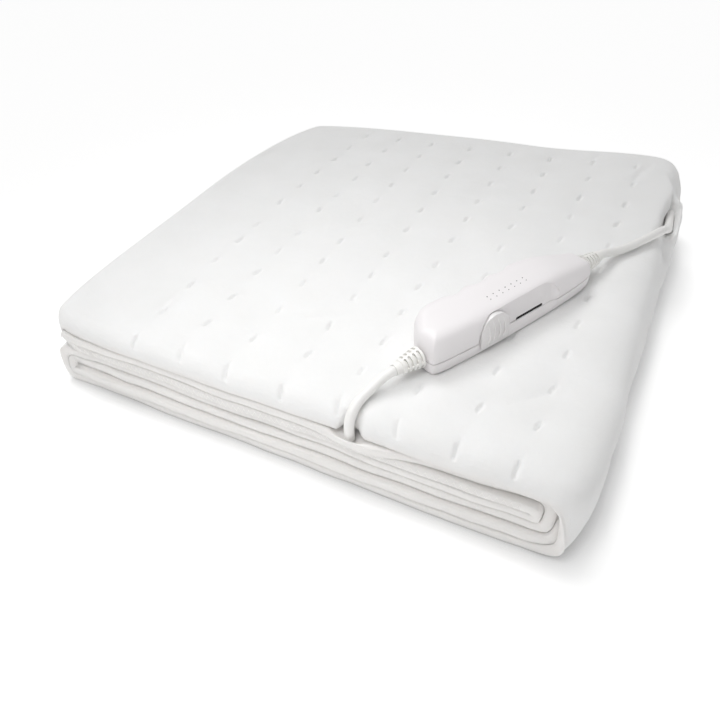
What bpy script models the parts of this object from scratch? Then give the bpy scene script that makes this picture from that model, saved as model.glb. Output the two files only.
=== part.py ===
"""Folded electric underblanket with its cord and slide control, as closed solids in metres, +Z up.

The origin is at the middle of the pile, on the surface that it rests on. +X runs along the front
edge from left to right and +Y runs from the front edge to the back.
"""

import math

import bmesh
import bpy
from mathutils import Vector

# ---- cloth: one padded sheet, doubled over across its width and then folded twice along its length
SHEET = 0.0068          # thickness of the padded sheet
SLIT = 0.0007           # air between the two halves of the doubled sheet
AIR = 0.0009            # air between one doubled ply and the next
PLY = 2 * SHEET + SLIT
PITCH = PLY + AIR
PILE_H = 4 * PLY + 3 * AIR
LEG_MID = SLIT / 2 + SHEET / 2

# ---- where the folds stand along X
LEFT_FOLD_X = -0.188    # centre of the left fold
TIP_X = -0.187          # centre of the curl at the top ply's free end
TIP_R = 0.012           # radius of that curl at the middle of the ply
TIP_TURN = 85           # degrees that the curl turns down
TIP_RUN = 0.0085        # straight cloth below the curl
INNER_END_X = -0.184    # free end of the ply under the top one
INNER_FOLD_X = 0.158    # centre of the inner right fold, at the back
INNER_FRONT_X = 0.0155  # how much further right that fold stands at the front
OUTER_FOLD_X = 0.175    # centre of the outer right fold
SMALL_R = PITCH / 2     # middle radius of the two tight folds
BIG_R = 1.5 * PITCH     # middle radius of the outer right fold

# ---- how far each half of each ply reaches to the front and back (a is the outer half at the right fold)
FRONT_REACH = {
    "top": {"a": -0.2018, "b": -0.1860, "back": 0.1990, "roll": 1.0, "shift": 0.0},
    "bottom": {"a": -0.2005, "b": -0.2010, "back": 0.1980, "roll": 0.0, "shift": 0.0},
    "second": {"a": -0.1900, "b": -0.1990, "back": 0.1965, "roll": 0.0, "shift": 1.0},
    "third": {"a": -0.1965, "b": -0.1995, "back": 0.1975, "roll": 0.0, "shift": 1.0},
}
ROLL_Y = -0.1855        # where the top sheet starts to roll over the front edge
ROLL_R = 0.0100         # radius of that roll at the middle of the sheet
HEM_ROUND = 0.0022      # length over which a hem rounds off
HEM_SHOULDER = 0.0009
UNDER_STEPS = (0.034, 0.021, 0.013, 0.006, 0.0)     # rows of points behind an inner half's hem
HEM_BACK = 0.0060       # how far the hem under the top ply stands back at the right
HEM_BACK_FROM, HEM_BACK_TO = 0.065, 0.105

# ---- bed that the front cord presses into the roll and into the hem under it
BED_X = 0.0555
BED_FLAT = 0.0030       # half width of the bed's floor
BED_EASE = 0.0130       # width over which it comes back up, on each side
BED_DEPTH = 0.0060
BED_SQUASH = 0.40       # share by which the ply under the roll is pressed thinner
BED_FRONT, BED_RIM = -0.2000, -0.2025
BED_REAR, BED_END = -0.1850, -0.1700
LIP_REACH = 0.0030      # how far that ply's hem bulges out in front of the cord
LIP_EASE = 0.0310       # width over which it does so, on each side

# ---- quilting tacks on the top face
TACK_COLUMNS = (-0.115, -0.075, -0.036, 0.006, 0.046, 0.085, 0.124, 0.161)
TACK_ROWS = (-0.158, -0.126, -0.092, -0.061, -0.031, 0.007, 0.039, 0.072, 0.104, 0.138, 0.170)
ROLL_TACK_ARC = 0.0045  # distance past the roll's start at which the first row of tacks lies
TACK_HALF_X = 0.0055
TACK_HALF_Y = 0.0045
TACK_DEPTH = 0.0020

# ---- outline of the pile from above, and its uneven top
HALF_X = 0.205
HALF_Y = 0.199
BACK_PULL = 0.045       # share of the half size that the two back corners are drawn in
RIGHT_PULL = 0.038      # the same for the front right corner, along X only
TIP_PULL = 0.045        # the same for the front corner of the top ply's free end
FOLD_SQUARE = 3.0       # 2 is a round fold, and more is a squarer one
FOOT_SQUARE = 4.5       # the same for the lower half of the outer right fold
BACK_SLANT = 0.021      # how much shorter the pile is at the back left
LEFT_SLANT = 0.020      # how far the back end of the left edge stands in
RIGHT_TAPER = 0.005     # how far the right edge stands out at the back and in at the front
CORNER_RISE = 0.12      # share of its height by which the back right corner stands up
BACK_DROP = 0.020       # share of its height by which the back left corner sinks
PUFF = 0.008            # share of its height by which the top swells and dips
MIDDLE_X = -0.0005      # brings the middle of the uneven pile's box over the origin
MIDDLE_Y = 0.0023

# ---- pinch in the outer right fold, where the cord goes in
PINCH_DEPTH = 0.0125
PINCH_TURN = 36         # degrees above the horizontal, seen from the fold's centre
PINCH_SPREAD = 30
PINCH_START_Y = 0.050
PINCH_FULL_Y = 0.095
PINCH_END_Y = 0.235

# ---- control
CONTROL_X = 0.1123
CONTROL_Y = -0.0744
CONTROL_ANGLE = 62.2    # degrees from +X to the control's long axis
CONTROL_Z = 0.0604      # underside of the control
CONTROL_H = 0.027
BASE_H = 0.0090         # height of the lower shell
SHELL_GAP = 0.0003
CLOTH_GAP = 0.0006
DENT_MARGIN = 0.010     # width over which the cloth comes back up beside the control
SHELL_STEPS = 30        # stations along the shell's outline, each side

# the shell's outline, seen from above: u along it, near and far the two sides
SHELL_OUTLINE = (
    {"u": -0.0740, "near": -0.0085, "far": 0.0100},
    {"u": -0.0720, "near": -0.0108, "far": 0.0138},
    {"u": -0.0670, "near": -0.0118, "far": 0.0178},
    {"u": -0.0560, "near": -0.0130, "far": 0.0222},
    {"u": -0.0420, "near": -0.0142, "far": 0.0240},
    {"u": -0.0200, "near": -0.0150, "far": 0.0244},
    {"u": 0.0120, "near": -0.0150, "far": 0.0244},
    {"u": 0.0330, "near": -0.0146, "far": 0.0236},
    {"u": 0.0500, "near": -0.0138, "far": 0.0190},
    {"u": 0.0620, "near": -0.0126, "far": 0.0140},
    {"u": 0.0700, "near": -0.0112, "far": 0.0112},
    {"u": 0.0740, "near": -0.0080, "far": 0.0080},
)
GRIP_FROM, GRIP_TO = -0.042, 0.024      # stretch of the far side with finger grips
GRIP_PITCH = 0.0165
GRIP_DEPTH = 0.0016

# rings of the upper and lower shells: height above the underside, and share of the outline's size
TOP_RINGS = (
    {"w": BASE_H + SHELL_GAP, "along": 0.998, "across": 0.985},
    {"w": BASE_H + 0.0010, "along": 1.000, "across": 1.000},
    {"w": 0.0150, "along": 0.997, "across": 0.985},
    {"w": 0.0195, "along": 0.988, "across": 0.930},
    {"w": 0.0230, "along": 0.972, "across": 0.840},
    {"w": 0.0253, "along": 0.948, "across": 0.700},
    {"w": 0.0266, "along": 0.910, "across": 0.500},
    {"w": CONTROL_H, "along": 0.860, "across": 0.250},
)
BASE_RINGS = (
    {"w": 0.0000, "along": 0.978, "across": 0.900},
    {"w": 0.0012, "along": 0.992, "across": 0.960},
    {"w": 0.0040, "along": 0.999, "across": 0.990},
    {"w": BASE_H - 0.0008, "along": 1.000, "across": 1.000},
    {"w": BASE_H, "along": 0.998, "across": 0.985},
)

# recess on the near side, the slot in its floor and the slider that runs in it
RECESS_FROM, RECESS_TO = -0.0355, 0.0320
RECESS_FLOOR = -0.0108
RECESS_TOP = 0.0236
RECESS_CORNER = 0.0115
SLOT_FROM, SLOT_TO = -0.0275, 0.0215
SLOT_W = 0.0128         # height of the slot's middle
SLOT_H = 0.0022
SLOT_DEPTH = 0.0040
SLIDER_U = -0.0240      # middle of the slider in its off place
SLIDER_LEN = 0.0190
SLIDER_GAP = 0.0006     # room between the slider's arched top and the recess
SLIDER_BACK = RECESS_FLOOR - 0.0004
SLIDER_LOW = BASE_H + 0.0006
SLIDER_LEAN = 0.0022    # how far the slider's face leans back at its top
SLIDER_EDGE = 0.0007
STEM_LEN = 0.0050
STEM_GAP = 0.0003
STEM_ROOT = 0.0010
RIB_COUNT = 4
RIB_PITCH = 0.0038
RIB_WIDTH = 0.0014
RIB_HEIGHT = 0.0008

# strain reliefs
BOOT_W = 0.0100         # height of the cord's axis where it leaves the control
BOOT_LEN = 0.0200
BOOT_ROOT_R = 0.0074
BOOT_TIP_R = 0.0044
BOOT_GROOVES = 5
BOOT_GROOVE_DEPTH = 0.0009
BOOT_SIDES = 20

# cords
CORD_D = 0.0065
CORD_STEP = 1.1 * CORD_D
CORD_SIDES = 2          # bevel resolution
CORD_GAP = 0.0003
ROUTE_STEPS = 12        # fine steps between two points of a route
CORD_OUT = 0.0045       # how far each cord runs straight on from its strain relief

# routes of the two cords past that, read as one smooth curve
FRONT_ROUTE = (
    (0.0626, -0.1677, 0.0682),
    (0.0598, -0.1742, 0.0656),
    (0.0575, -0.1807, 0.0642),
    (0.0559, -0.1867, 0.0618),
    (0.0552, -0.1919, 0.0574),
    (0.0550, -0.1943, 0.0515),
    (0.0550, -0.1948, 0.0460),
    (0.0550, -0.1943, 0.0412),
)
BACK_ROUTE = (
    (0.1619, 0.0208, 0.0672),
    (0.1667, 0.0291, 0.0648),
    (0.1723, 0.0373, 0.0640),
    (0.1785, 0.0463, 0.0642),
    (0.1845, 0.0558, 0.0643),
    (0.1903, 0.0663, 0.0640),
    (0.1952, 0.0778, 0.0618),
    (0.1975, 0.0903, 0.0553),
    (0.1976, 0.1033, 0.0510),
    (0.1972, 0.1163, 0.0490),
    (0.1967, 0.1288, 0.0487),
)

# sRGB colours, roughness and metallic value of each material
FINISHES = {
    "padded_cloth": {"rgb": (0.955, 0.952, 0.945), "rough": 0.95, "metal": 0.0},
    "moulded_shell": {"rgb": (0.870, 0.860, 0.860), "rough": 0.42, "metal": 0.0},
    "slider_plastic": {"rgb": (0.890, 0.885, 0.882), "rough": 0.40, "metal": 0.0},
    "soft_boot": {"rgb": (0.860, 0.855, 0.835), "rough": 0.55, "metal": 0.0},
    "cord_sheath": {"rgb": (0.870, 0.865, 0.840), "rough": 0.50, "metal": 0.0},
}


# ---------------------------------------------------------------- small helpers

def clear_scene():
    """Remove every object of the open scene."""
    for obj in list(bpy.data.objects):
        bpy.data.objects.remove(obj)


def linear(value):
    """Turn one sRGB channel to linear light."""
    return value / 12.92 if value <= 0.04045 else ((value + 0.055) / 1.055) ** 2.4


def material(name):
    """Make or reuse the Principled material of that name."""
    made = bpy.data.materials.get(name)
    if made:
        return made
    finish = FINISHES[name]
    made = bpy.data.materials.new(name)
    made.use_nodes = True
    shader = made.node_tree.nodes["Principled BSDF"]
    colour = [linear(channel) for channel in finish["rgb"]] + [1.0]
    shader.inputs["Base Color"].default_value = colour
    shader.inputs["Roughness"].default_value = finish["rough"]
    shader.inputs["Metallic"].default_value = finish["metal"]
    made.diffuse_color = colour
    return made


def smoothstep(low, high, value):
    """Ease from 0 at low to 1 at high."""
    share = min(1.0, max(0.0, (value - low) / (high - low)))
    return share * share * (3 - 2 * share)


def mix(start, end, share):
    """Read a value that share of the way from start to end."""
    return start + (end - start) * share


def linked(name, data, parent=None):
    """Add an object to the scene, under its parent if it has one."""
    obj = bpy.data.objects.new(name, data)
    obj.parent = parent
    bpy.context.collection.objects.link(obj)
    return obj


def object_from(mesh_bm, name, finish, smooth_angle, parent=None):
    """Turn a bmesh into a named object with its material, shaded smooth up to an angle."""
    mesh = bpy.data.meshes.new(name)
    mesh_bm.to_mesh(mesh)
    mesh_bm.free()
    mesh.materials.append(material(finish))
    mesh.shade_smooth()
    mesh.set_sharp_from_angle(angle=math.radians(smooth_angle))
    return linked(name, mesh, parent)


# ---------------------------------------------------------------- the fold path

def station(x, z, heading, start, end, share, fold_turn=None):
    """One place on the path of the ply's middle line, between two rows of the reach table."""
    first, last = FRONT_REACH[start], FRONT_REACH[end]
    place = {key: mix(first[key], last[key], share) for key in first}
    place.update({"x": x, "z": z, "heading": heading, "fold_turn": fold_turn, "sink": 0.0})
    return place


def straight(z, xs, heading, ply):
    """Stations along a flat stretch of one ply."""
    return [station(x, z, heading, ply, ply, 0.0) for x in xs]


def bed_share(x):
    """How far the front cord's bed is pressed in at a place along the front, from 0 to 1."""
    return 1 - smoothstep(BED_FLAT, BED_FLAT + BED_EASE, abs(x - BED_X))


def bedded(places):
    """Stations of the top ply, with the bed that the front cord presses into the roll."""
    for place in places:
        place["sink"] = BED_DEPTH * bed_share(place["x"])
        place["a"] += place["sink"]
        place["b"] += 1.3 * place["sink"]
    return places


def hemmed(places):
    """Stations of the ply under the top one, whose hem stands back at the right."""
    for place in places:
        place["b"] += HEM_BACK * smoothstep(HEM_BACK_FROM, HEM_BACK_TO, place["x"])
        place["b"] -= LIP_REACH * (1 - smoothstep(BED_FLAT, BED_FLAT + LIP_EASE, abs(place["x"] - BED_X)))
    return places


def turn(centre_x, centre_z, radius, first, last, steps, start, end, outer=False):
    """Stations round a fold, from one heading to the next, without its two ends."""
    side = -1 if last < first else 1
    found = []
    for step in range(1, steps):
        share = step / steps
        heading = mix(first, last, share)
        angle = math.radians(heading)
        x = centre_x + side * radius * math.sin(angle)
        z = centre_z - side * radius * math.cos(angle)
        eased = smoothstep(0.0, 1.0, share)
        found.append(station(x, z, heading, start, end, eased, heading + 90 if outer else None))
    return found


def tip_stations(top_z):
    """Stations of the top ply's free end, which curls down over the ply under it."""
    angle = math.radians(TIP_TURN)
    centre_z = top_z - TIP_R
    x = TIP_X - TIP_R * math.sin(angle)
    z = centre_z + TIP_R * math.cos(angle)
    low = station(x - TIP_RUN * math.cos(angle), z - TIP_RUN * math.sin(angle), TIP_TURN, "top", "top", 0)
    found = [low]
    steps = 5
    for step in range(steps):
        heading = mix(TIP_TURN, 0, step / steps)
        here = math.radians(heading)
        x = TIP_X - TIP_R * math.sin(here)
        z = centre_z + TIP_R * math.cos(here)
        found.append(station(x, z, heading, "top", "top", 0))
    return found


def between(values):
    """The middles between neighbouring values."""
    return [mix(low, high, 0.5) for low, high in zip(values, values[1:])]


def fold_path():
    """All stations, from the top ply's free end to the free end of the ply under it."""
    bottom_z = PLY / 2
    second_z = bottom_z + PITCH
    third_z = second_z + PITCH
    top_z = third_z + PITCH
    columns = list(TACK_COLUMNS)
    half = (columns[1] - columns[0]) / 2
    bed_xs = [BED_X + side for side in (-BED_FLAT - BED_EASE, -BED_FLAT, BED_FLAT, BED_FLAT + BED_EASE)]
    top_xs = [TIP_X, -0.162, columns[0] - half] + between(columns[:5]) + bed_xs + between(columns[5:])
    top_xs.append(OUTER_FOLD_X)
    low_xs = [mix(OUTER_FOLD_X, LEFT_FOLD_X, step / 5) for step in range(6)]
    second_xs = [mix(LEFT_FOLD_X, INNER_FOLD_X, step / 4) for step in range(5)]
    lip = BED_FLAT + LIP_EASE
    third_xs = [INNER_FOLD_X, 0.120, BED_X + lip] + bed_xs[::-1] + [BED_X - lip, -0.040, -0.110, INNER_END_X]
    path = tip_stations(top_z)
    path += bedded(straight(top_z, top_xs, 0, "top"))
    path += turn(OUTER_FOLD_X, PILE_H / 2, BIG_R, 0, -180, 13, "top", "bottom", outer=True)
    path += straight(bottom_z, low_xs, -180, "bottom")
    path += turn(LEFT_FOLD_X, bottom_z + SMALL_R, SMALL_R, -180, -360, 8, "bottom", "second")
    path += straight(second_z, second_xs, -360, "second")
    path += turn(INNER_FOLD_X, second_z + SMALL_R, SMALL_R, -360, -180, 8, "second", "third")
    path += hemmed(straight(third_z, third_xs, -180, "third"))
    return path


# ---------------------------------------------------------------- the doubled sheet's section

def rolled(y, offset, place):
    """A point of the outer half in (y, n), at an offset from its middle, with the front rolled over."""
    roll, start = place["roll"], ROLL_Y + place["sink"]
    past = start - y
    if past <= 0 or roll < 0.01:
        return y, LEG_MID + offset
    radius = ROLL_R / roll
    angle = min(past / radius, roll * math.pi / 2)
    left_over = past - angle * radius
    out_y = start - (radius + offset) * math.sin(angle) - left_over * math.cos(angle)
    out_n = LEG_MID - radius + (radius + offset) * math.cos(angle) - left_over * math.sin(angle)
    return out_y, out_n


def outer_rows(front_a):
    """Where the points of the outer face stand, from its hem to the back, measured along the cloth."""
    roll_end = ROLL_Y - 2 * ROLL_TACK_ARC
    down = [mix(front_a + HEM_ROUND, roll_end, share) for share in (0.0, 0.34, 0.67)]
    rows = down + [roll_end, ROLL_Y, mix(ROLL_Y, TACK_ROWS[0], 0.65)]
    return rows + between(TACK_ROWS) + [TACK_ROWS[-1] + 0.014]


def section(place):
    """The closed section at one station, as (y, n) points."""
    front_a, front_b, back = place["a"], place["b"], place["back"]
    half = SHEET / 2
    turn_r = SHEET + SLIT / 2
    turn_y = back - turn_r
    outer_ys = outer_rows(front_a)
    points = [rolled(y, half, place) for y in outer_ys]
    points.append((turn_y, LEG_MID + half))
    for step in range(1, 5):
        angle = math.pi / 2 - math.pi * step / 5
        points.append((turn_y + turn_r * math.cos(angle), turn_r * math.sin(angle)))
    hem = front_b + HEM_ROUND
    under = [mix(turn_y, hem + UNDER_STEPS[0], share) for share in (0.0, 1 / 3, 2 / 3)]
    under += [hem + step for step in UNDER_STEPS]
    points += [(y, -turn_r) for y in under]
    points.append((front_b + 0.0005, -turn_r + HEM_SHOULDER))
    points.append((front_b, -LEG_MID))
    points.append((front_b + 0.0005, -SLIT / 2 - HEM_SHOULDER))
    points += [(y, -SLIT / 2) for y in reversed(under)]
    points.append((turn_y + SLIT / 2, 0.0))
    inner_ys = [turn_y, 0.10, 0.0, -0.10, ROLL_Y] + list(reversed(outer_ys[:3]))
    points += [rolled(y, -half, place) for y in inner_ys]
    points.append(rolled(front_a + 0.0005, -half + HEM_SHOULDER, place))
    points.append(rolled(front_a, 0.0, place))
    points.append(rolled(front_a + 0.0005, half - HEM_SHOULDER, place))
    return points


# ---------------------------------------------------------------- the pile's outline and uneven top

def pinch(place, y):
    """How far the outer right fold is pressed in at one station."""
    if place["fold_turn"] is None:
        return 0.0
    off = abs(place["fold_turn"] - PINCH_TURN) / PINCH_SPREAD
    if off >= 1:
        return 0.0
    along = smoothstep(PINCH_START_Y, PINCH_FULL_Y, y) * (1 - smoothstep(PINCH_FULL_Y + 0.05, PINCH_END_Y, y))
    return PINCH_DEPTH * (0.5 + 0.5 * math.cos(math.pi * off)) * along


def height_share(x, y):
    """How much higher or lower than its even height the pile stands at a place."""
    right_back = smoothstep(0.06, 0.19, x) * smoothstep(0.02, 0.17, y)
    left_back = smoothstep(-0.02, -0.19, x) * smoothstep(0.02, 0.19, y)
    swell = math.sin(21 * x + 1.3) * math.sin(17 * y - 0.7) + 0.5 * math.sin(43 * x - 31 * y)
    return 1 + CORNER_RISE * right_back - BACK_DROP * left_back + PUFF * swell


def squared(x, z, centre_x, centre_z, power):
    """Push a point of a round fold out towards a squarer one."""
    east, up = x - centre_x, z - centre_z
    reach = math.hypot(east, up)
    if reach < 1e-6:
        return x, z
    scale = (abs(east / reach) ** power + abs(up / reach) ** power) ** (-1 / power)
    return centre_x + east * scale, centre_z + up * scale


def pressed(x, y, z):
    """The height of a point of the ply under the roll, pressed thinner where the front cord ends."""
    floor = 2 * PITCH
    if not floor < z < 3 * PITCH - AIR / 2 or y > BED_END:
        return z
    along = smoothstep(BED_RIM, BED_FRONT, y) * (1 - smoothstep(BED_REAR, BED_END, y))
    return floor + (z - floor) * (1 - BED_SQUASH * along * bed_share(x))


def shaped(point):
    """Move a point of the even pile to the uneven pile's outline and height."""
    x, y, z = point
    z = pressed(x, y, z)
    if x > OUTER_FOLD_X:
        x, z = squared(x, z, OUTER_FOLD_X, PILE_H / 2, FOLD_SQUARE if 2 * z > PILE_H else FOOT_SQUARE)
    if x < LEFT_FOLD_X and z < 2 * PITCH - AIR / 2:
        x, z = squared(x, z, LEFT_FOLD_X, PITCH - AIR / 2, FOLD_SQUARE)
    back_share = max(0.0, y / HALF_Y)
    left_share = max(0.0, -x / HALF_X)
    tip_pull = TIP_PULL * smoothstep(0.47, 0.53, z / PILE_H) * left_share
    right_share = smoothstep(0.0, 1.0, x / HALF_X)
    x_pull = BACK_PULL if y > 0 else tip_pull + RIGHT_PULL * right_share
    y_pull = BACK_PULL if y > 0 else tip_pull
    x_new = x * (1 - x_pull * min(1.0, abs(y) / HALF_Y) ** 8)
    y_new = y * (1 - y_pull * min(1.0, abs(x) / HALF_X) ** 8)
    x_new += LEFT_SLANT * left_share * back_share ** 2
    x_new += RIGHT_TAPER * max(0.0, x / HALF_X) ** 2 * (y / HALF_Y)
    y_new -= BACK_SLANT * ((0.18 - x) / 0.352) ** 2 * back_share ** 2
    return Vector((x_new + MIDDLE_X, y_new + MIDDLE_Y, z * height_share(x, y)))


def control_place(point):
    """Turn a point of the control's own frame (u along, v to its far side, w up) to the world."""
    angle = math.radians(CONTROL_ANGLE)
    u, v, w = point
    x = CONTROL_X + u * math.cos(angle) - v * math.sin(angle)
    y = CONTROL_Y + u * math.sin(angle) + v * math.cos(angle)
    return Vector((x, y, CONTROL_Z + w))


def outline_at(u):
    """The near and far sides of the shell's outline at one place along it."""
    rows = SHELL_OUTLINE
    u = min(rows[-1]["u"], max(rows[0]["u"], u))
    for low, high in zip(rows, rows[1:]):
        if u <= high["u"]:
            share = (u - low["u"]) / (high["u"] - low["u"])
            near = mix(low["near"], high["near"], share)
            far = mix(low["far"], high["far"], share)
            break
    if GRIP_FROM < u < GRIP_TO:
        fade = smoothstep(GRIP_FROM, GRIP_FROM + 0.008, u) * (1 - smoothstep(GRIP_TO - 0.008, GRIP_TO, u))
        far -= GRIP_DEPTH * fade * (0.5 - 0.5 * math.cos(2 * math.pi * (u - GRIP_FROM) / GRIP_PITCH))
    return near, far


def dent_height(x, y, height):
    """The cloth's height beside and under the control, which presses it flat."""
    angle = math.radians(CONTROL_ANGLE)
    east, north = x - CONTROL_X, y - CONTROL_Y
    u = east * math.cos(angle) + north * math.sin(angle)
    v = -east * math.sin(angle) + north * math.cos(angle)
    near, far = outline_at(u)
    past = max(abs(u) - SHELL_OUTLINE[-1]["u"], near - v, v - far, 0.0)
    bed = CONTROL_Z - CLOTH_GAP
    return min(height, mix(bed, height, smoothstep(0.0, DENT_MARGIN, past)))


# ---------------------------------------------------------------- the blanket

def tack_cells(path):
    """Each tack's station and row of points before it, and its share of the way to the next ones."""
    tops = [index for index, place in enumerate(path) if place["heading"] == 0]
    rows = outer_rows(FRONT_REACH["top"]["a"])
    cells = []
    for column in TACK_COLUMNS:
        left = max(index for index in tops if path[index]["x"] < column)
        across = (column - path[left]["x"]) / (path[left + 1]["x"] - path[left]["x"])
        for tack_y in (ROLL_Y - ROLL_TACK_ARC,) + TACK_ROWS:
            row = max(index for index, y in enumerate(rows) if y < tack_y)
            along = (tack_y - rows[row]) / (rows[row + 1] - rows[row])
            cells.append({"station": left, "row": row, "across": across, "along": along})
    return cells


def inside(corners, across, along):
    """A place inside a four-cornered face."""
    a, b, c, d = (corner.co for corner in corners)
    return a.lerp(b, across).lerp(d.lerp(c, across), along)


def add_tack(mesh_bm, grid, cell):
    """Replace one face of the top by a ring and a pit round a tack."""
    first, second = grid[cell["station"]], grid[cell["station"] + 1]
    row, u, v = cell["row"], cell["across"], cell["along"]
    corners = (first[row], second[row], second[row + 1], first[row + 1])
    face = mesh_bm.faces.get(corners)
    normal = face.normal.copy()
    du = TACK_HALF_X / (corners[1].co - corners[0].co).length
    dv = min(0.8 * v, 0.8 * (1 - v), TACK_HALF_Y / (corners[3].co - corners[0].co).length)
    spots = ((u - du, v - dv), (u + du, v - dv), (u + du, v + dv), (u - du, v + dv))
    ring = [mesh_bm.verts.new(inside(corners, *spot)) for spot in spots]
    pit = mesh_bm.verts.new(inside(corners, u, v) - normal * TACK_DEPTH)
    mesh_bm.faces.remove(face)
    for step in range(4):
        after = (step + 1) % 4
        mesh_bm.faces.new((corners[step], corners[after], ring[after], ring[step]))
        mesh_bm.faces.new((ring[step], ring[after], pit))


def build_blanket():
    """The whole folded cloth as one closed solid."""
    path = fold_path()
    mesh_bm = bmesh.new()
    grid = []
    for place in path:
        angle = math.radians(place["heading"])
        normal_x, normal_z = -math.sin(angle), math.cos(angle)
        ring = []
        for y, n in section(place):
            out = n - pinch(place, y)
            slide = place["shift"] * INNER_FRONT_X * (1 - smoothstep(-0.06, 0.05, y))
            x = place["x"] + slide * smoothstep(0.0, INNER_FOLD_X, place["x"])
            ring.append(mesh_bm.verts.new((x + out * normal_x, y, place["z"] + out * normal_z)))
        grid.append(ring)
    count = len(grid[0])
    for first, second in zip(grid, grid[1:]):
        for row in range(count):
            after = (row + 1) % count
            mesh_bm.faces.new((first[row], second[row], second[after], first[after]))
    caps = [mesh_bm.faces.new(grid[0]), mesh_bm.faces.new(list(reversed(grid[-1])))]
    bmesh.ops.triangulate(mesh_bm, faces=caps, ngon_method="EAR_CLIP")
    rows = len(outer_rows(ROLL_Y))
    top_face = {vert for place, ring in zip(path, grid) if place["heading"] == 0 for vert in ring[:rows]}
    for vert in mesh_bm.verts:
        flat = vert.co.z < 1e-6
        vert.co = shaped(vert.co)
        if flat:
            vert.co.z = 0.0
        if vert in top_face:
            vert.co.z = dent_height(vert.co.x, vert.co.y, vert.co.z)
    mesh_bm.normal_update()
    for cell in tack_cells(path):
        add_tack(mesh_bm, grid, cell)
    bmesh.ops.recalc_face_normals(mesh_bm, faces=mesh_bm.faces)
    object_from(mesh_bm, "blanket", "padded_cloth", 55)


# ---------------------------------------------------------------- the control

def outline_ring(along, across):
    """Points of the shell's outline, near side left to right and far side back, scaled about its axis."""
    half = SHELL_OUTLINE[-1]["u"]
    us = [-half * math.cos(math.pi * step / SHELL_STEPS) for step in range(SHELL_STEPS + 1)]
    near_side = [(u * along, outline_at(u)[0] * across) for u in us]
    far_side = [(u * along, outline_at(u)[1] * across) for u in reversed(us)]
    return near_side + far_side


def lofted(rings):
    """A closed bmesh through stacked rings of the outline, in the control's own frame."""
    mesh_bm = bmesh.new()
    grid = []
    for ring in rings:
        flat = outline_ring(ring["along"], ring["across"])
        grid.append([mesh_bm.verts.new((u, v, ring["w"])) for u, v in flat])
    count = len(grid[0])
    for low, high in zip(grid, grid[1:]):
        for step in range(count):
            after = (step + 1) % count
            mesh_bm.faces.new((low[step], low[after], high[after], high[step]))
    mesh_bm.faces.new(list(reversed(grid[0])))
    mesh_bm.faces.new(grid[-1])
    bmesh.ops.recalc_face_normals(mesh_bm, faces=mesh_bm.faces)
    return mesh_bm


def recess_outline():
    """The D of the recess in (u, w): a flat foot below the parting line and two round upper corners."""
    low, high, top = RECESS_FROM, RECESS_TO, RECESS_TOP
    radius = RECESS_CORNER
    points = [(low, BASE_H - 0.002), (high, BASE_H - 0.002)]
    steps = 6
    for step in range(steps + 1):
        angle = math.pi / 2 * step / steps
        points.append((high - radius + radius * math.cos(angle), top - radius + radius * math.sin(angle)))
    for step in range(steps + 1):
        angle = math.pi / 2 + math.pi / 2 * step / steps
        points.append((low + radius + radius * math.cos(angle), top - radius + radius * math.sin(angle)))
    return points


def prism(points, v_from, v_to):
    """A closed bmesh of a (u, w) outline, drawn out along v."""
    mesh_bm = bmesh.new()
    near = [mesh_bm.verts.new((u, v_from, w)) for u, w in points]
    far = [mesh_bm.verts.new((u, v_to, w)) for u, w in points]
    count = len(points)
    for step in range(count):
        after = (step + 1) % count
        mesh_bm.faces.new((near[step], near[after], far[after], far[step]))
    mesh_bm.faces.new(near)
    mesh_bm.faces.new(far)
    bmesh.ops.recalc_face_normals(mesh_bm, faces=mesh_bm.faces)
    return mesh_bm


def rounded_bar(u_from, u_to, middle, height):
    """The (u, w) outline of a bar with round ends."""
    radius = height / 2
    points = []
    steps = 4
    for centre, start in ((u_to - radius, -math.pi / 2), (u_from + radius, math.pi / 2)):
        for step in range(steps + 1):
            angle = start + math.pi * step / steps
            points.append((centre + radius * math.cos(angle), middle + radius * math.sin(angle)))
    return points


def control_frame():
    """The empty that carries the control's pieces, at the control's place on the pile."""
    frame = linked("control_frame", None)
    frame.location = (CONTROL_X, CONTROL_Y, CONTROL_Z)
    frame.rotation_euler.z = math.radians(CONTROL_ANGLE)
    return frame


def hidden_tool(mesh_bm, name, parent):
    """A hidden object that a Boolean cuts or joins with."""
    mesh = bpy.data.meshes.new(name)
    mesh_bm.to_mesh(mesh)
    mesh_bm.free()
    obj = linked(name, mesh, parent)
    obj.hide_render = True
    obj.display_type = "WIRE"
    return obj


def combine(obj, tool, operation):
    """Cut an object with a tool, or join the tool to it, by a Boolean modifier."""
    step = obj.modifiers.new(tool.name, "BOOLEAN")
    step.operation = operation
    step.solver = "EXACT"
    step.object = tool


def build_control_shells(frame):
    """The upper shell with its recess and slot, and the lower shell."""
    upper = object_from(lofted(TOP_RINGS), "control_top", "moulded_shell", 32, frame)
    outer_v = SHELL_OUTLINE[5]["near"] - 0.004
    recess = hidden_tool(prism(recess_outline(), outer_v, RECESS_FLOOR), "recess_tool", frame)
    slot_outline = rounded_bar(SLOT_FROM, SLOT_TO, SLOT_W, SLOT_H)
    slot = hidden_tool(prism(slot_outline, outer_v, RECESS_FLOOR + SLOT_DEPTH), "slot_tool", frame)
    combine(upper, recess, "DIFFERENCE")
    combine(upper, slot, "DIFFERENCE")
    object_from(lofted(BASE_RINGS), "control_base", "moulded_shell", 32, frame)


def slider_face(w):
    """How far out the slider's face stands at a height, following the shell's shoulder."""
    return -0.0157 + SLIDER_LEAN * smoothstep(0.0150, RECESS_TOP, w)


def slider_crown(u):
    """Height of the slider's arched top at one place along it, a little inside the recess's corner."""
    radius = RECESS_CORNER - SLIDER_GAP
    return RECESS_TOP - RECESS_CORNER + math.sqrt(radius ** 2 - (u - SLIDER_U) ** 2)


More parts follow.
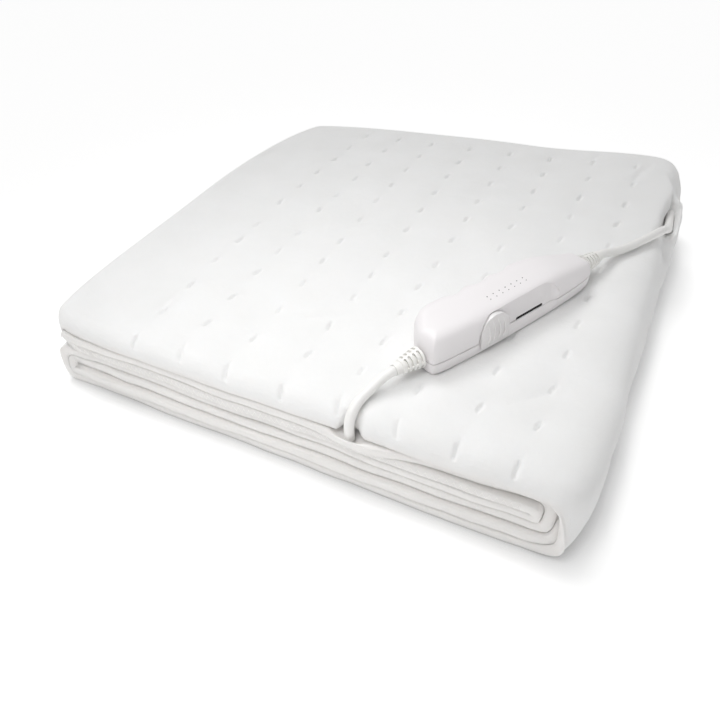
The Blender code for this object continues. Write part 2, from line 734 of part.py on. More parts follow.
def rib_edges():
    """Both edges of every rib, along the slider."""
    first = SLIDER_U - (RIB_COUNT - 1) * RIB_PITCH / 2
    middles = [first + index * RIB_PITCH for index in range(RIB_COUNT)]
    return [middle + side * RIB_WIDTH / 2 for middle in middles for side in (-1, 1)]


def raise_ribs(mesh_bm, columns):
    """Draw the slider's ribs out of its face."""
    faces = []
    for index in range(2, 2 + 2 * RIB_COUNT, 2):
        first, second = columns[index]["front"], columns[index + 1]["front"]
        for low in range(1, len(first) - 2):
            faces.append(mesh_bm.faces.get((first[low], second[low], second[low + 1], first[low + 1])))
    made = bmesh.ops.extrude_face_region(mesh_bm, geom=faces)
    for item in made["geom"]:
        if isinstance(item, bmesh.types.BMVert):
            item.co.y -= RIB_HEIGHT
    bmesh.ops.delete(mesh_bm, geom=faces, context="FACES_ONLY")


def build_slider(frame):
    """The ribbed slider in its off place, with the stem that runs in the slot."""
    mesh_bm = bmesh.new()
    left, right = SLIDER_U - SLIDER_LEN / 2, SLIDER_U + SLIDER_LEN / 2
    us = [left, left + SLIDER_EDGE] + rib_edges() + [right - SLIDER_EDGE, right]
    columns = []
    for index, u in enumerate(us):
        back_step = SLIDER_EDGE if index in (0, len(us) - 1) else 0.0
        front, rear = [], []
        for share in (0.0, 0.1, 0.3, 0.5, 0.7, 0.9, 1.0):
            w = mix(SLIDER_LOW, slider_crown(u), share)
            rim = SLIDER_EDGE if share in (0.0, 1.0) else 0.0
            front.append(mesh_bm.verts.new((u, slider_face(w) + max(back_step, rim), w)))
            rear.append(mesh_bm.verts.new((u, SLIDER_BACK, w)))
        columns.append({"front": front, "rear": rear})
    for first, second in zip(columns, columns[1:]):
        loop = list(zip(first["front"] + first["rear"][::-1], second["front"] + second["rear"][::-1]))
        for low, high in zip(loop, loop[1:] + loop[:1]):
            mesh_bm.faces.new((low[0], low[1], high[1], high[0]))
    for end in (columns[0], columns[-1]):
        for low in range(len(end["front"]) - 1):
            mesh_bm.faces.new((end["front"][low], end["front"][low + 1], end["rear"][low + 1], end["rear"][low]))
    raise_ribs(mesh_bm, columns)
    bmesh.ops.recalc_face_normals(mesh_bm, faces=mesh_bm.faces)
    origin = Vector((SLIDER_U, RECESS_FLOOR, SLOT_W))
    bmesh.ops.translate(mesh_bm, vec=-origin, verts=mesh_bm.verts)
    slider = object_from(mesh_bm, "control_slider", "slider_plastic", 30, frame)
    slider.location = origin
    stem_outline = rounded_bar(-STEM_LEN / 2, STEM_LEN / 2, 0.0, SLOT_H - 2 * STEM_GAP)
    root, end = SLIDER_BACK - RECESS_FLOOR - STEM_ROOT, SLOT_DEPTH - 2 * STEM_GAP
    combine(slider, hidden_tool(prism(stem_outline, root, end), "stem_tool", slider), "UNION")


# ---------------------------------------------------------------- strain reliefs and cords

def boot_profile():
    """Radii along a strain relief, from the control to its tip, with its rings of grooves."""
    rows = [(0.0, BOOT_ROOT_R)]
    pitch = (BOOT_LEN - 0.006) / BOOT_GROOVES
    for index in range(BOOT_GROOVES):
        start = 0.0028 + index * pitch
        for shift, depth in ((0.0, 0.0), (0.0005, 1.0), (pitch * 0.38, 1.0), (pitch * 0.38 + 0.0005, 0.0)):
            place = start + shift
            radius = mix(BOOT_ROOT_R, BOOT_TIP_R, place / BOOT_LEN)
            rows.append((place, radius - depth * BOOT_GROOVE_DEPTH))
    rows.append((BOOT_LEN - 0.0012, BOOT_TIP_R + 0.0002))
    rows.append((BOOT_LEN, BOOT_TIP_R - 0.0006))
    return rows


def build_boot(frame, name, direction):
    """One tapered strain relief on the control's axis; direction is 1 at the back end, -1 at the front."""
    mesh_bm = bmesh.new()
    start = SHELL_OUTLINE[-1]["u"] + SHELL_GAP
    rings = []
    for place, radius in boot_profile():
        ring = []
        for side in range(BOOT_SIDES):
            angle = 2 * math.pi * side / BOOT_SIDES
            spot = (direction * (start + place), radius * math.cos(angle), BOOT_W + radius * math.sin(angle))
            ring.append(mesh_bm.verts.new(spot))
        rings.append(ring)
    for low, high in zip(rings, rings[1:]):
        for side in range(BOOT_SIDES):
            after = (side + 1) % BOOT_SIDES
            mesh_bm.faces.new((low[side], low[after], high[after], high[side]))
    mesh_bm.faces.new(rings[0])
    mesh_bm.faces.new(rings[-1])
    bmesh.ops.recalc_face_normals(mesh_bm, faces=mesh_bm.faces)
    object_from(mesh_bm, name, "soft_boot", 28, frame)


def smooth_route(points):
    """A smooth curve through the route's points (Catmull-Rom), finely sampled."""
    spots = [Vector(point) for point in points]
    spots = [2 * spots[0] - spots[1]] + spots + [2 * spots[-1] - spots[-2]]
    fine = []
    for index in range(1, len(spots) - 2):
        before, start, end, after = spots[index - 1:index + 3]
        for step in range(ROUTE_STEPS):
            t = step / ROUTE_STEPS
            fine.append(0.5 * (2 * start + (end - before) * t
                               + (2 * before - 5 * start + 4 * end - after) * t ** 2
                               + (3 * start - before - 3 * end + after) * t ** 3))
    fine.append(spots[-2])
    return fine


def even_points(fine, step):
    """Points an even step apart along a fine curve, with both ends kept."""
    lengths = [0.0]
    for first, second in zip(fine, fine[1:]):
        lengths.append(lengths[-1] + (second - first).length)
    count = max(2, round(lengths[-1] / step))
    found = []
    for index in range(count + 1):
        target = lengths[-1] * index / count
        at = max(place for place in range(len(lengths)) if lengths[place] <= target + 1e-9)
        if at == len(fine) - 1:
            found.append(fine[-1].copy())
            continue
        span = lengths[at + 1] - lengths[at]
        found.append(fine[at].lerp(fine[at + 1], (target - lengths[at]) / span))
    return found


def cord_points(direction, route):
    """Points along a cord: straight out of its strain relief, and then evenly along its smooth route."""
    exit_u = SHELL_OUTLINE[-1]["u"] + SHELL_GAP + BOOT_LEN + CORD_GAP
    first, second = [control_place((direction * (exit_u + along), 0.0, BOOT_W)) for along in (0.0, CORD_OUT)]
    fine = smooth_route([first, second] + [Vector(point) for point in route])
    return [first] + even_points(fine[ROUTE_STEPS:], CORD_STEP)


def build_cord(name, points):
    """One free stretch of cord as a round tube through its points."""
    curve = bpy.data.curves.new(name, "CURVE")
    curve.dimensions = "3D"
    curve.bevel_depth = CORD_D / 2
    curve.bevel_resolution = CORD_SIDES
    curve.use_fill_caps = True
    spline = curve.splines.new("POLY")
    spline.points.add(len(points) - 1)
    for spot, point in zip(spline.points, points):
        spot.co = (*point, 1.0)
    curve.materials.append(material("cord_sheath"))
    linked(name, curve)


def main():
    """Build every piece."""
    clear_scene()
    build_blanket()
    frame = control_frame()
    build_control_shells(frame)
    build_slider(frame)
    build_boot(frame, "boot_front", -1)
    build_boot(frame, "boot_back", 1)
    build_cord("cord_front", cord_points(-1, FRONT_ROUTE))
    build_cord("cord_back", cord_points(1, BACK_ROUTE))


main()
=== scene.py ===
"""Dressed model of a folded electric underblanket with its cord and slide control.

Metres, +Z up. The origin is at the middle of the folded pile, on the surface that it rests on, +X runs
along the front edge from left to right, and +Y runs from the front edge to the back.
"""

import logging
import math
import random
from contextlib import contextmanager
from dataclasses import dataclass, field, replace
from enum import Enum
from typing import Iterator, Sequence

import bmesh
import bpy
from mathutils import Matrix, Vector, noise


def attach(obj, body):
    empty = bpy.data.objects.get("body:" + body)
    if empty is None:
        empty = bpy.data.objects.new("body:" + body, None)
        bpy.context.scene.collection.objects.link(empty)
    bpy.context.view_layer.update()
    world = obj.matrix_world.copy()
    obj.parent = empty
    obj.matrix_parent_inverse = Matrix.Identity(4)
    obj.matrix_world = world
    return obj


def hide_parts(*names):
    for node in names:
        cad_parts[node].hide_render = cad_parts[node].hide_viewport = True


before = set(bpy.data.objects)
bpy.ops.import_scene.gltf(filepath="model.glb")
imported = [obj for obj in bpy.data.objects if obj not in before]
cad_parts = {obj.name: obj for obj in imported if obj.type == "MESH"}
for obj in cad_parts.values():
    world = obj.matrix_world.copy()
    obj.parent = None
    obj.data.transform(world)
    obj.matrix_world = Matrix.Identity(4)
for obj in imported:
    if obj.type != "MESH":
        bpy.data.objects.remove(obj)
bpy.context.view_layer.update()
LOG = logging.getLogger("underblanket")

Pair = tuple[float, float]
Triple = tuple[float, float, float]
Floats = Sequence[float]
Object = bpy.types.Object
Socket = bpy.types.NodeSocket
Tree = bpy.types.NodeTree


class Body(Enum):
    """The two bodies of the model."""

    PILE = "folded_blanket"
    SLIDER = "slider"


# ---------------------------------------------------------------- small helpers


def linear(code: str) -> tuple[float, ...]:
    """Turn an sRGB hex colour to linear light: red, green, blue and an alpha of 1."""
    channels = [int(code[place : place + 2], 16) / 255 for place in (1, 3, 5)]
    return (*(c / 12.92 if c <= 0.04045 else ((c + 0.055) / 1.055) ** 2.4 for c in channels), 1.0)


def feed(tree: Tree, node: bpy.types.Node, inputs: dict) -> None:
    """Set or link a node's inputs.

    Args:
        tree: The material's node tree.
        node: The node.
        inputs: For each input, by name or number, a value or the socket that feeds it.
    """
    for socket, value in inputs.items():
        if isinstance(value, Socket):
            tree.links.new(value, node.inputs[socket])
        else:
            node.inputs[socket].default_value = value


def add_node(tree: Tree, kind: str, inputs: dict, out: str, **settings: object) -> Socket:
    """Add one shader node with its settings and links.

    Args:
        tree: The material's node tree.
        kind: The node's type name, without "ShaderNode".
        inputs: Its inputs, as feed takes them.
        out: Which output to return.
        settings: The node's own properties.

    Returns:
        The output.
    """
    made = tree.nodes.new("ShaderNode" + kind)
    for name, value in settings.items():
        setattr(made, name, value)
    feed(tree, made, inputs)
    return made.outputs[out]


def smoothstep(low: float, high: float, value: float) -> float:
    """Ease from 0 where the value is at low to 1 where it is at high."""
    share = min(1.0, max(0.0, (value - low) / (high - low)))
    return share * share * (3 - 2 * share)


def mix(start: float, end: float, share: float) -> float:
    """Read the value that share of the way from start to end."""
    return start + (end - start) * share


def bell(value: float, width: float) -> float:
    """Read a bell curve: 1 at 0, and 0.37 at the width."""
    return math.exp(-((value / width) ** 2))


def filled(stops: Floats, widest: float) -> list[float]:
    """Add values between stops so that no step is wider than asked.

    Args:
        stops: Values in rising order.
        widest: The widest step that may stay.

    Returns:
        The stops with the values between them.
    """
    found = [stops[0]]
    for low, high in zip(stops, stops[1:]):
        count = max(1, math.ceil((high - low) / widest - 1e-6))
        found += [mix(low, high, step / count) for step in range(1, count + 1)]
    return found


def new_object(name: str, data: bpy.types.ID) -> Object:
    """Make an object and link it to the scene.

    Args:
        name: Its name.
        data: Its mesh, curve, camera or light.

    Returns:
        The object.
    """
    made = bpy.data.objects.new(name, data)
    bpy.context.collection.objects.link(made)
    return made


def make_active(first: Object, *others: Object) -> None:
    """Select these objects alone, because an operator acts on all that is selected.

    Args:
        first: The object that becomes active.
        others: The others.
    """
    bpy.ops.object.select_all(action="DESELECT")
    for piece in (first, *others):
        piece.select_set(True)
    bpy.context.view_layer.objects.active = first


def join(first: Object, *others: Object) -> Object:
    """Join objects to the first of them.

    Args:
        first: The object that stays.
        others: The objects that are joined to it.

    Returns:
        The first object.
    """
    make_active(first, *others)
    bpy.ops.object.join()
    return first


def primitive(kind: str, name: str, **settings: object) -> Object:
    """Add a mesh primitive with nothing else selected.

    Args:
        kind: The primitive, such as "cylinder".
        name: The new object's name.
        settings: The operator's own settings.

    Returns:
        The new object.
    """
    bpy.ops.object.select_all(action="DESELECT")
    getattr(bpy.ops.mesh, f"primitive_{kind}_add")(**settings)
    bpy.context.object.name = name
    return bpy.context.object


def rectangle(left: float, right: float, low: float, high: float) -> list[Pair]:
    """List the corners of an upright rectangle."""
    return [(left, low), (right, low), (right, high), (left, high)]


def nearest_on(start: Vector, end: Vector, spot: Vector) -> Vector:
    """Find the point of a straight stretch that is nearest to a spot."""
    run = end - start
    return start + run * min(1.0, max(0.0, (spot - start).dot(run) / run.length_squared))


def outlined(name: str, points: Sequence[Sequence[float]]) -> Object:
    """Make a filled outline: a flat circle whose points are moved to their places.

    Args:
        name: The new object's name.
        points: The outline's points.

    Returns:
        The new object.
    """
    made = primitive("circle", name, vertices=len(points), radius=0.02, fill_type="NGON", location=(0, 0, 0))
    for vert, point in zip(made.data.vertices, points):
        vert.co = point
    return made


def tube(name: str, radius: float, rounds: int, lines: Sequence[tuple[Sequence[Vector], float]]) -> Object:
    """Lay round tubes along lines of points, as one curve object.

    Args:
        name: The new object's name.
        radius: The tubes' radius.
        rounds: How finely they are rounded.
        lines: For each tube its points and its share of the radius.

    Returns:
        The new object.
    """
    curve = bpy.data.curves.new(name, "CURVE")
    curve.dimensions = "3D"
    curve.bevel_depth = radius
    curve.bevel_resolution = rounds
    curve.use_fill_caps = True
    for points, share in lines:
        spline = curve.splines.new("POLY")
        spline.points.add(len(points) - 1)
        for spot, point in zip(spline.points, points):
            spot.co = (*point, 1.0)
            spot.radius = share
    return new_object(name, curve)


@contextmanager
def editing(obj: Object) -> Iterator[None]:
    """Hold an object in edit mode, with everything selected at the start.

    Args:
        obj: The object to edit.
    """
    make_active(obj)
    bpy.ops.object.mode_set(mode="EDIT")
    bpy.ops.mesh.select_mode(type="FACE")
    bpy.ops.mesh.select_all(action="SELECT")
    yield
    bpy.ops.object.mode_set(mode="OBJECT")


@contextmanager
def edit_mesh(obj: Object) -> Iterator[bmesh.types.BMesh]:
    """Give the mesh of an object in edit mode, and write back what was changed.

    Args:
        obj: The object, in edit mode.

    Yields:
        The mesh.
    """
    mesh_bm = bmesh.from_edit_mesh(obj.data)
    mesh_bm.faces.ensure_lookup_table()
    yield mesh_bm
    bmesh.update_edit_mesh(obj.data)


def cap_loop(mesh_bm: bmesh.types.BMesh, placed: Sequence[Vector]) -> tuple[bmesh.types.BMFace, list]:
    """Find the selected cap and its corners in the order of the points that they stand at.

    Args:
        mesh_bm: The mesh.
        placed: The points.

    Returns:
        The cap and its corners.
    """
    cap = next(face for face in mesh_bm.faces if face.select)
    return cap, [min(cap.verts, key=lambda vert: (vert.co - point).length_squared) for point in placed]


def face_outwards() -> None:
    """Turn every face of the object in edit mode to its outside."""
    bpy.ops.mesh.select_all(action="SELECT")
    bpy.ops.mesh.normals_make_consistent(inside=False)


def select_faces(obj: Object, wanted: Sequence[int]) -> None:
    """Select these faces alone.

    Args:
        obj: The object, in edit mode.
        wanted: The faces' numbers.
    """
    with edit_mesh(obj) as mesh_bm:
        for face in mesh_bm.faces:
            face.select_set(False)
        for index in wanted:
            mesh_bm.faces[index].select_set(True)


def apply_modifier(obj: Object, kind: str, **settings: object) -> None:
    """Add a modifier and apply it.

    Args:
        obj: The object.
        kind: The modifier's type.
        settings: Its settings.
    """
    modifier = obj.modifiers.new(kind.lower(), kind)
    for name, value in settings.items():
        setattr(modifier, name, value)
    make_active(obj)
    bpy.ops.object.modifier_apply(modifier=modifier.name)


def settle(obj: Object) -> None:
    """Put an object's place and turn into its mesh, so that it sits at the origin."""
    make_active(obj)
    bpy.ops.object.transform_apply(location=True, rotation=True, scale=True)


def hand_over(obj: Object, body: Body, nodes: Sequence[str] = ()) -> None:
    """Say which body a finished piece rides on and the nodes it stands for.

    Args:
        obj: The piece.
        body: The body that it rides on.
        nodes: CAD nodes that it replaces.
    """
    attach(obj, body.value)
    if nodes:
        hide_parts(*nodes)
    LOG.info("%s: %d faces", obj.name, len(getattr(obj.data, "polygons", ())))


# ---------------------------------------------------------------- finishes


@dataclass(frozen=True)
class Finish:
    """A surface finish: the material's name, its sRGB colour and its roughness."""

    name: str
    colour: str
    roughness: float

    def material(self) -> bpy.types.Material:
        """Build the material.

        Returns:
            The material.
        """
        made = bpy.data.materials.new(self.name)
        made.use_nodes = True
        made.diffuse_color = linear(self.colour)
        shader = made.node_tree.nodes["Principled BSDF"]
        feed(made.node_tree, shader, {"Base Color": linear(self.colour), "Roughness": self.roughness})
        feed(made.node_tree, shader, self.dress(made.node_tree))
        return made

    def dress(self, tree: Tree) -> dict:
        """Build the finish's own nodes."""
        raise NotImplementedError


@dataclass(frozen=True)
class BrushedMicrofibre(Finish):
    """Polyester microfibre felted over thin wadding and brushed: it scatters light evenly, has a faint
    lustre at grazing angles, and its hems and the faces inside its doubled sheets are drawn a little
    darker and warmer than its face."""

    hem_colour: str = "#EDEBE9"
    mottle_colour: str = "#EBEBEA"
    fibre_mm: float = 1.1
    nap_mm: float = 4.5
    mottle_mm: float = 38.0

    def dress(self, tree: Tree) -> dict:
        """Build the nap, the fibres and the colour.

        Args:
            tree: The material's node tree.

        Returns:
            The shader's inputs.
        """
        place = add_node(tree, "UVMap", {}, "UV", uv_map="cloth")
        # lint and drawn fibres, drawn coarser than the real 0.02 mm so that they show
        fine = {"Vector": place, "Scale": 1000 / self.fibre_mm, "Detail": 3.0, "Roughness": 0.65, "Distortion": 0.6}
        coarse = {"Vector": place, "Scale": 1000 / self.nap_mm, "Detail": 3.0, "Roughness": 0.55, "Distortion": 0.3}
        fibre, nap = (add_node(tree, "TexNoise", pattern, "Fac") for pattern in (fine, coarse))
        mottle = add_node(tree, "TexNoise", {"Vector": place, "Scale": 1000 / self.mottle_mm, "Detail": 2.0}, "Fac")
        hem = add_node(tree, "Attribute", {}, "Fac", attribute_name="hem")
        colours = {0: mottle, "A": linear(self.colour), "B": linear(self.mottle_colour)}
        face = add_node(tree, "Mix", colours, "Result", data_type="RGBA")
        colours = {0: hem, "A": face, "B": linear(self.hem_colour)}
        low = add_node(tree, "Bump", {"Strength": 0.30, "Distance": 0.0012, "Height": nap}, "Normal")
        lint = {"Strength": 0.40, "Distance": 0.0004, "Height": fibre, "Normal": low}
        return {
            "Base Color": add_node(tree, "Mix", colours, "Result", data_type="RGBA"),
            "Normal": add_node(tree, "Bump", lint, "Normal"),
            "Sheen Weight": 0.18,
            "Sheen Roughness": 0.45,
            "Specular IOR Level": 0.12,
            "Subsurface Weight": 0.50,
            "Subsurface Radius": (1.0, 0.97, 0.95),
            "Subsurface Scale": 0.0045,
        }


@dataclass(frozen=True)
class MouldedPlastic(Finish):
    """A moulded plastic with a finely eroded texture: it softens every highlight to a satin glow."""

    grain_mm: float = 0.55
    grain_depth: float = 0.00004
    ior: float = 1.50
    wear_mm: float = 1000 / 55

    def dress(self, tree: Tree) -> dict:
        """Build the grain and the uneven gloss.

        Args:
            tree: The material's node tree.

        Returns:
            The shader's inputs.
        """
        place = add_node(tree, "TexCoord", {}, "Object")
        grain = add_node(tree, "TexNoise", {"Vector": place, "Scale": 1000 / self.grain_mm, "Detail": 2.0}, "Fac")
        wear = add_node(tree, "TexNoise", {"Vector": place, "Scale": 1000 / self.wear_mm, "Detail": 3.0}, "Fac")
        relief = {"Strength": 0.35, "Distance": self.grain_depth, "Height": grain}
        gloss = {"Value": wear, "To Min": self.roughness - 0.05, "To Max": self.roughness + 0.07}
        return {
            "Roughness": add_node(tree, "MapRange", gloss, "Result"),
            "Normal": add_node(tree, "Bump", relief, "Normal"),
            "IOR": self.ior,
        }


@dataclass(frozen=True)
class SpunThread(Finish):
    """Textured polyester overlock thread: soft, slightly lighter than the hem, with its twist showing."""

    twist_mm: float = 0.6

    def dress(self, tree: Tree) -> dict:
        """Build the thread's twist.

        Args:
            tree: The material's node tree.

        Returns:
            The shader's inputs.
        """
        place = add_node(tree, "TexCoord", {}, "Object")
        twist = add_node(tree, "TexNoise", {"Vector": place, "Scale": 1000 / self.twist_mm, "Detail": 1.0}, "Fac")
        relief = {"Strength": 0.4, "Distance": 0.0002, "Height": twist}
        return {"Normal": add_node(tree, "Bump", relief, "Normal"), "Sheen Weight": 0.15}


@dataclass(frozen=True)
class PaleFloor(Finish):
    """A pale floor with a painted contact shadow: its colour and its glow darken softly within a few millimetres of
    what stands on it.
    """

    glow: float = 0.30
    contact: float = 0.017
    painted_shadow_share: float = 0.72

    def dress(self, tree: Tree) -> dict:
        """Build the contact shade.

        Args:
            tree: The material's node tree.

        Returns:
            The shader's inputs.
        """
        # painted contact shadow: ambient occlusion darkens the floor's colour and glow near what stands on it
        inputs = {"Color": linear(self.colour), "Distance": self.contact}
        shade = add_node(tree, "AmbientOcclusion", inputs, "Color", samples=8)
        colours = {0: 1 - self.painted_shadow_share, "A": shade, "B": linear(self.colour)}
        pale = add_node(tree, "Mix", colours, "Result", data_type="RGBA")
        return {
            "Base Color": pale, "Emission Color": pale, "Emission Strength": self.glow, "Specular IOR Level": 0.1,
        }


CLOTH = BrushedMicrofibre("brushed_microfibre_cloth", "#F1F1F1", 0.95)
SHELL = MouldedPlastic("abs_moulded_shell", "#F1EEEF", 0.40)
SLIDER = MouldedPlastic("abs_moulded_slider", "#EBE9E9", 0.38)
BOOT = MouldedPlastic("soft_pvc_strain_relief", "#F1F0ED", 0.50, grain_mm=0.8, ior=1.53)
SHEATH = MouldedPlastic("soft_pvc_cord_sheath", "#F3F2F0", 0.42, grain_mm=1.2, ior=1.53)
# painted shade: a near-black plate in the slot stands in for the shade deep inside it
PAINTED_SLOT_SHADE = MouldedPlastic("painted_slot_shade", "#0D0D0D", 0.75)
INK = MouldedPlastic("grey_pad_printed_ink", "#6E6A6A", 0.60)
THREAD = SpunThread("polyester_overlock_thread", "#FAF8F5", 0.85)
FLOOR = PaleFloor("pale_floor", "#FAFAFA", 0.9)


# ---------------------------------------------------------------- camera, floor and light


@dataclass
class Studio:
    """The camera at the photograph's viewing angle, a pale floor with a painted contact shadow, and soft light."""

    azimuth: float = 28.93
    elevation: float = 43.13
    roll: float = -4.0
    distance: float = 0.3963
    target: Vector = field(default_factory=lambda: Vector((0.0400, -0.1481, 0.0600)))
    lens: float = 31.0
    floor_size: float = 8.0
    ambient: float = 0.385

    def camera(self) -> None:
        """Create the camera and make it the scene's."""
        turn, rise, roll = (math.radians(value) for value in (self.azimuth, self.elevation, self.roll))
        back = Vector((math.sin(turn) * math.cos(rise), -math.cos(turn) * math.cos(rise), math.sin(rise)))
        right = (-back).cross(Vector((0, 0, 1))).normalized()
        up = right.cross(-back)
        rolled_right = right * math.cos(roll) + up * math.sin(roll)
        rolled_up = up * math.cos(roll) - right * math.sin(roll)
        place = Matrix((rolled_right, rolled_up, back)).transposed().to_4x4()
        place.translation = self.target + back * self.distance
        data = bpy.data.cameras.new("camera")
        data.lens = self.lens
        data.clip_start = 0.01
        camera = new_object("camera", data)
        camera.matrix_world = place
        bpy.context.scene.camera = camera

    def light(self, name: str, place: Triple, aim: Triple, energy: float, colour: str, **shape: float) -> None:
        """Hang one light: an area light where it has a size, and otherwise a sun.

        Args:
            name: The light's name.
            place: Where it hangs.
            aim: The point that it looks at.
            energy: Its power in watts, or a sun's strength.
            colour: Its sRGB colour.
            shape: Its size in metres and its spread in radians, or a sun's angle.
        """
        data = bpy.data.lights.new(name, "AREA" if "size" in shape else "SUN")
        data.energy = energy
        data.color = linear(colour)[:3]
        for key, value in shape.items():
            setattr(data, key, value)
        light = new_object(name, data)
        light.location = place
        light.rotation_euler = (Vector(aim) - light.location).to_track_quat("-Z", "Y").to_euler()

    def build(self) -> None:
        """Set up the camera, the floor, the lights and the surrounding light."""
        self.camera()
        floor = primitive("plane", "floor", size=self.floor_size, location=(0, 0, -0.0002))
        floor.data.materials.append(FLOOR.material())
        self.light("key", (-0.40, 0.34, 0.90), (0, 0, 0), 1.20, "#FFFFFF", angle=math.radians(26))
        front, above = (0.3, -1.7, 0.9), (-0.02, -0.33, 0.62)
        self.light("front_fill", front, (0, 0, 0.03), 2.6, "#FFFDFA", size=1.2, spread=math.radians(180))
        self.light("overhead", above, (-0.02, -0.15, 0.06), 0.25, "#FFFFFF", size=0.34, spread=math.radians(62))
        world = bpy.data.worlds.new("studio")
        world.use_nodes = True
        feed(world.node_tree, world.node_tree.nodes["Background"], {"Color": (1, 1, 1, 1), "Strength": self.ambient})
        bpy.context.scene.world = world
        bpy.context.scene.view_settings.view_transform = "Standard"


# ---------------------------------------------------------------- the folded cloth


class Ply(Enum):
    """The four doubled plies of the pile."""

    TOP = "top"
    BOTTOM = "bottom"
    SECOND = "second"
    THIRD = "third"


@dataclass(frozen=True)
class Reach:
    """How far the outer half (a) and the inner half (b) of a ply reach to the front, and both to the back.

    roll is 1 where the outer half rolls over the front edge, and shift is 1 where the ply follows the
    inner right fold as it stands further out at the front."""

    a: float
    b: float
    back: float
    roll: float
    shift: float

    def towards(self, other: "Reach", share: float) -> "Reach":
        """Read the reach that share of the way to another."""
        keys = ("a", "b", "back", "roll", "shift")
        return Reach(*(mix(getattr(self, key), getattr(other, key), share) for key in keys))


REACH = {
    Ply.TOP: Reach(-0.2018, -0.1860, 0.1990, 1.0, 0.0),
    Ply.BOTTOM: Reach(-0.2009, -0.2016, 0.1980, 0.0, 0.0),
    Ply.SECOND: Reach(-0.1968, -0.1986, 0.1965, 0.0, 1.0),
    Ply.THIRD: Reach(-0.1984, -0.1990, 0.1975, 0.0, 1.0),
}


@dataclass
class Station:
    """One place along the fold path: a point of the ply's middle line and what the section needs there."""

    x: float
    z: float
    heading: float
    reach: Reach
    along: float = 0.0
    fold_turn: float | None = None
    sink: float = 0.0
    thin: float = 1.0
    squeeze: float = 1.0
    closed: float = 0.0


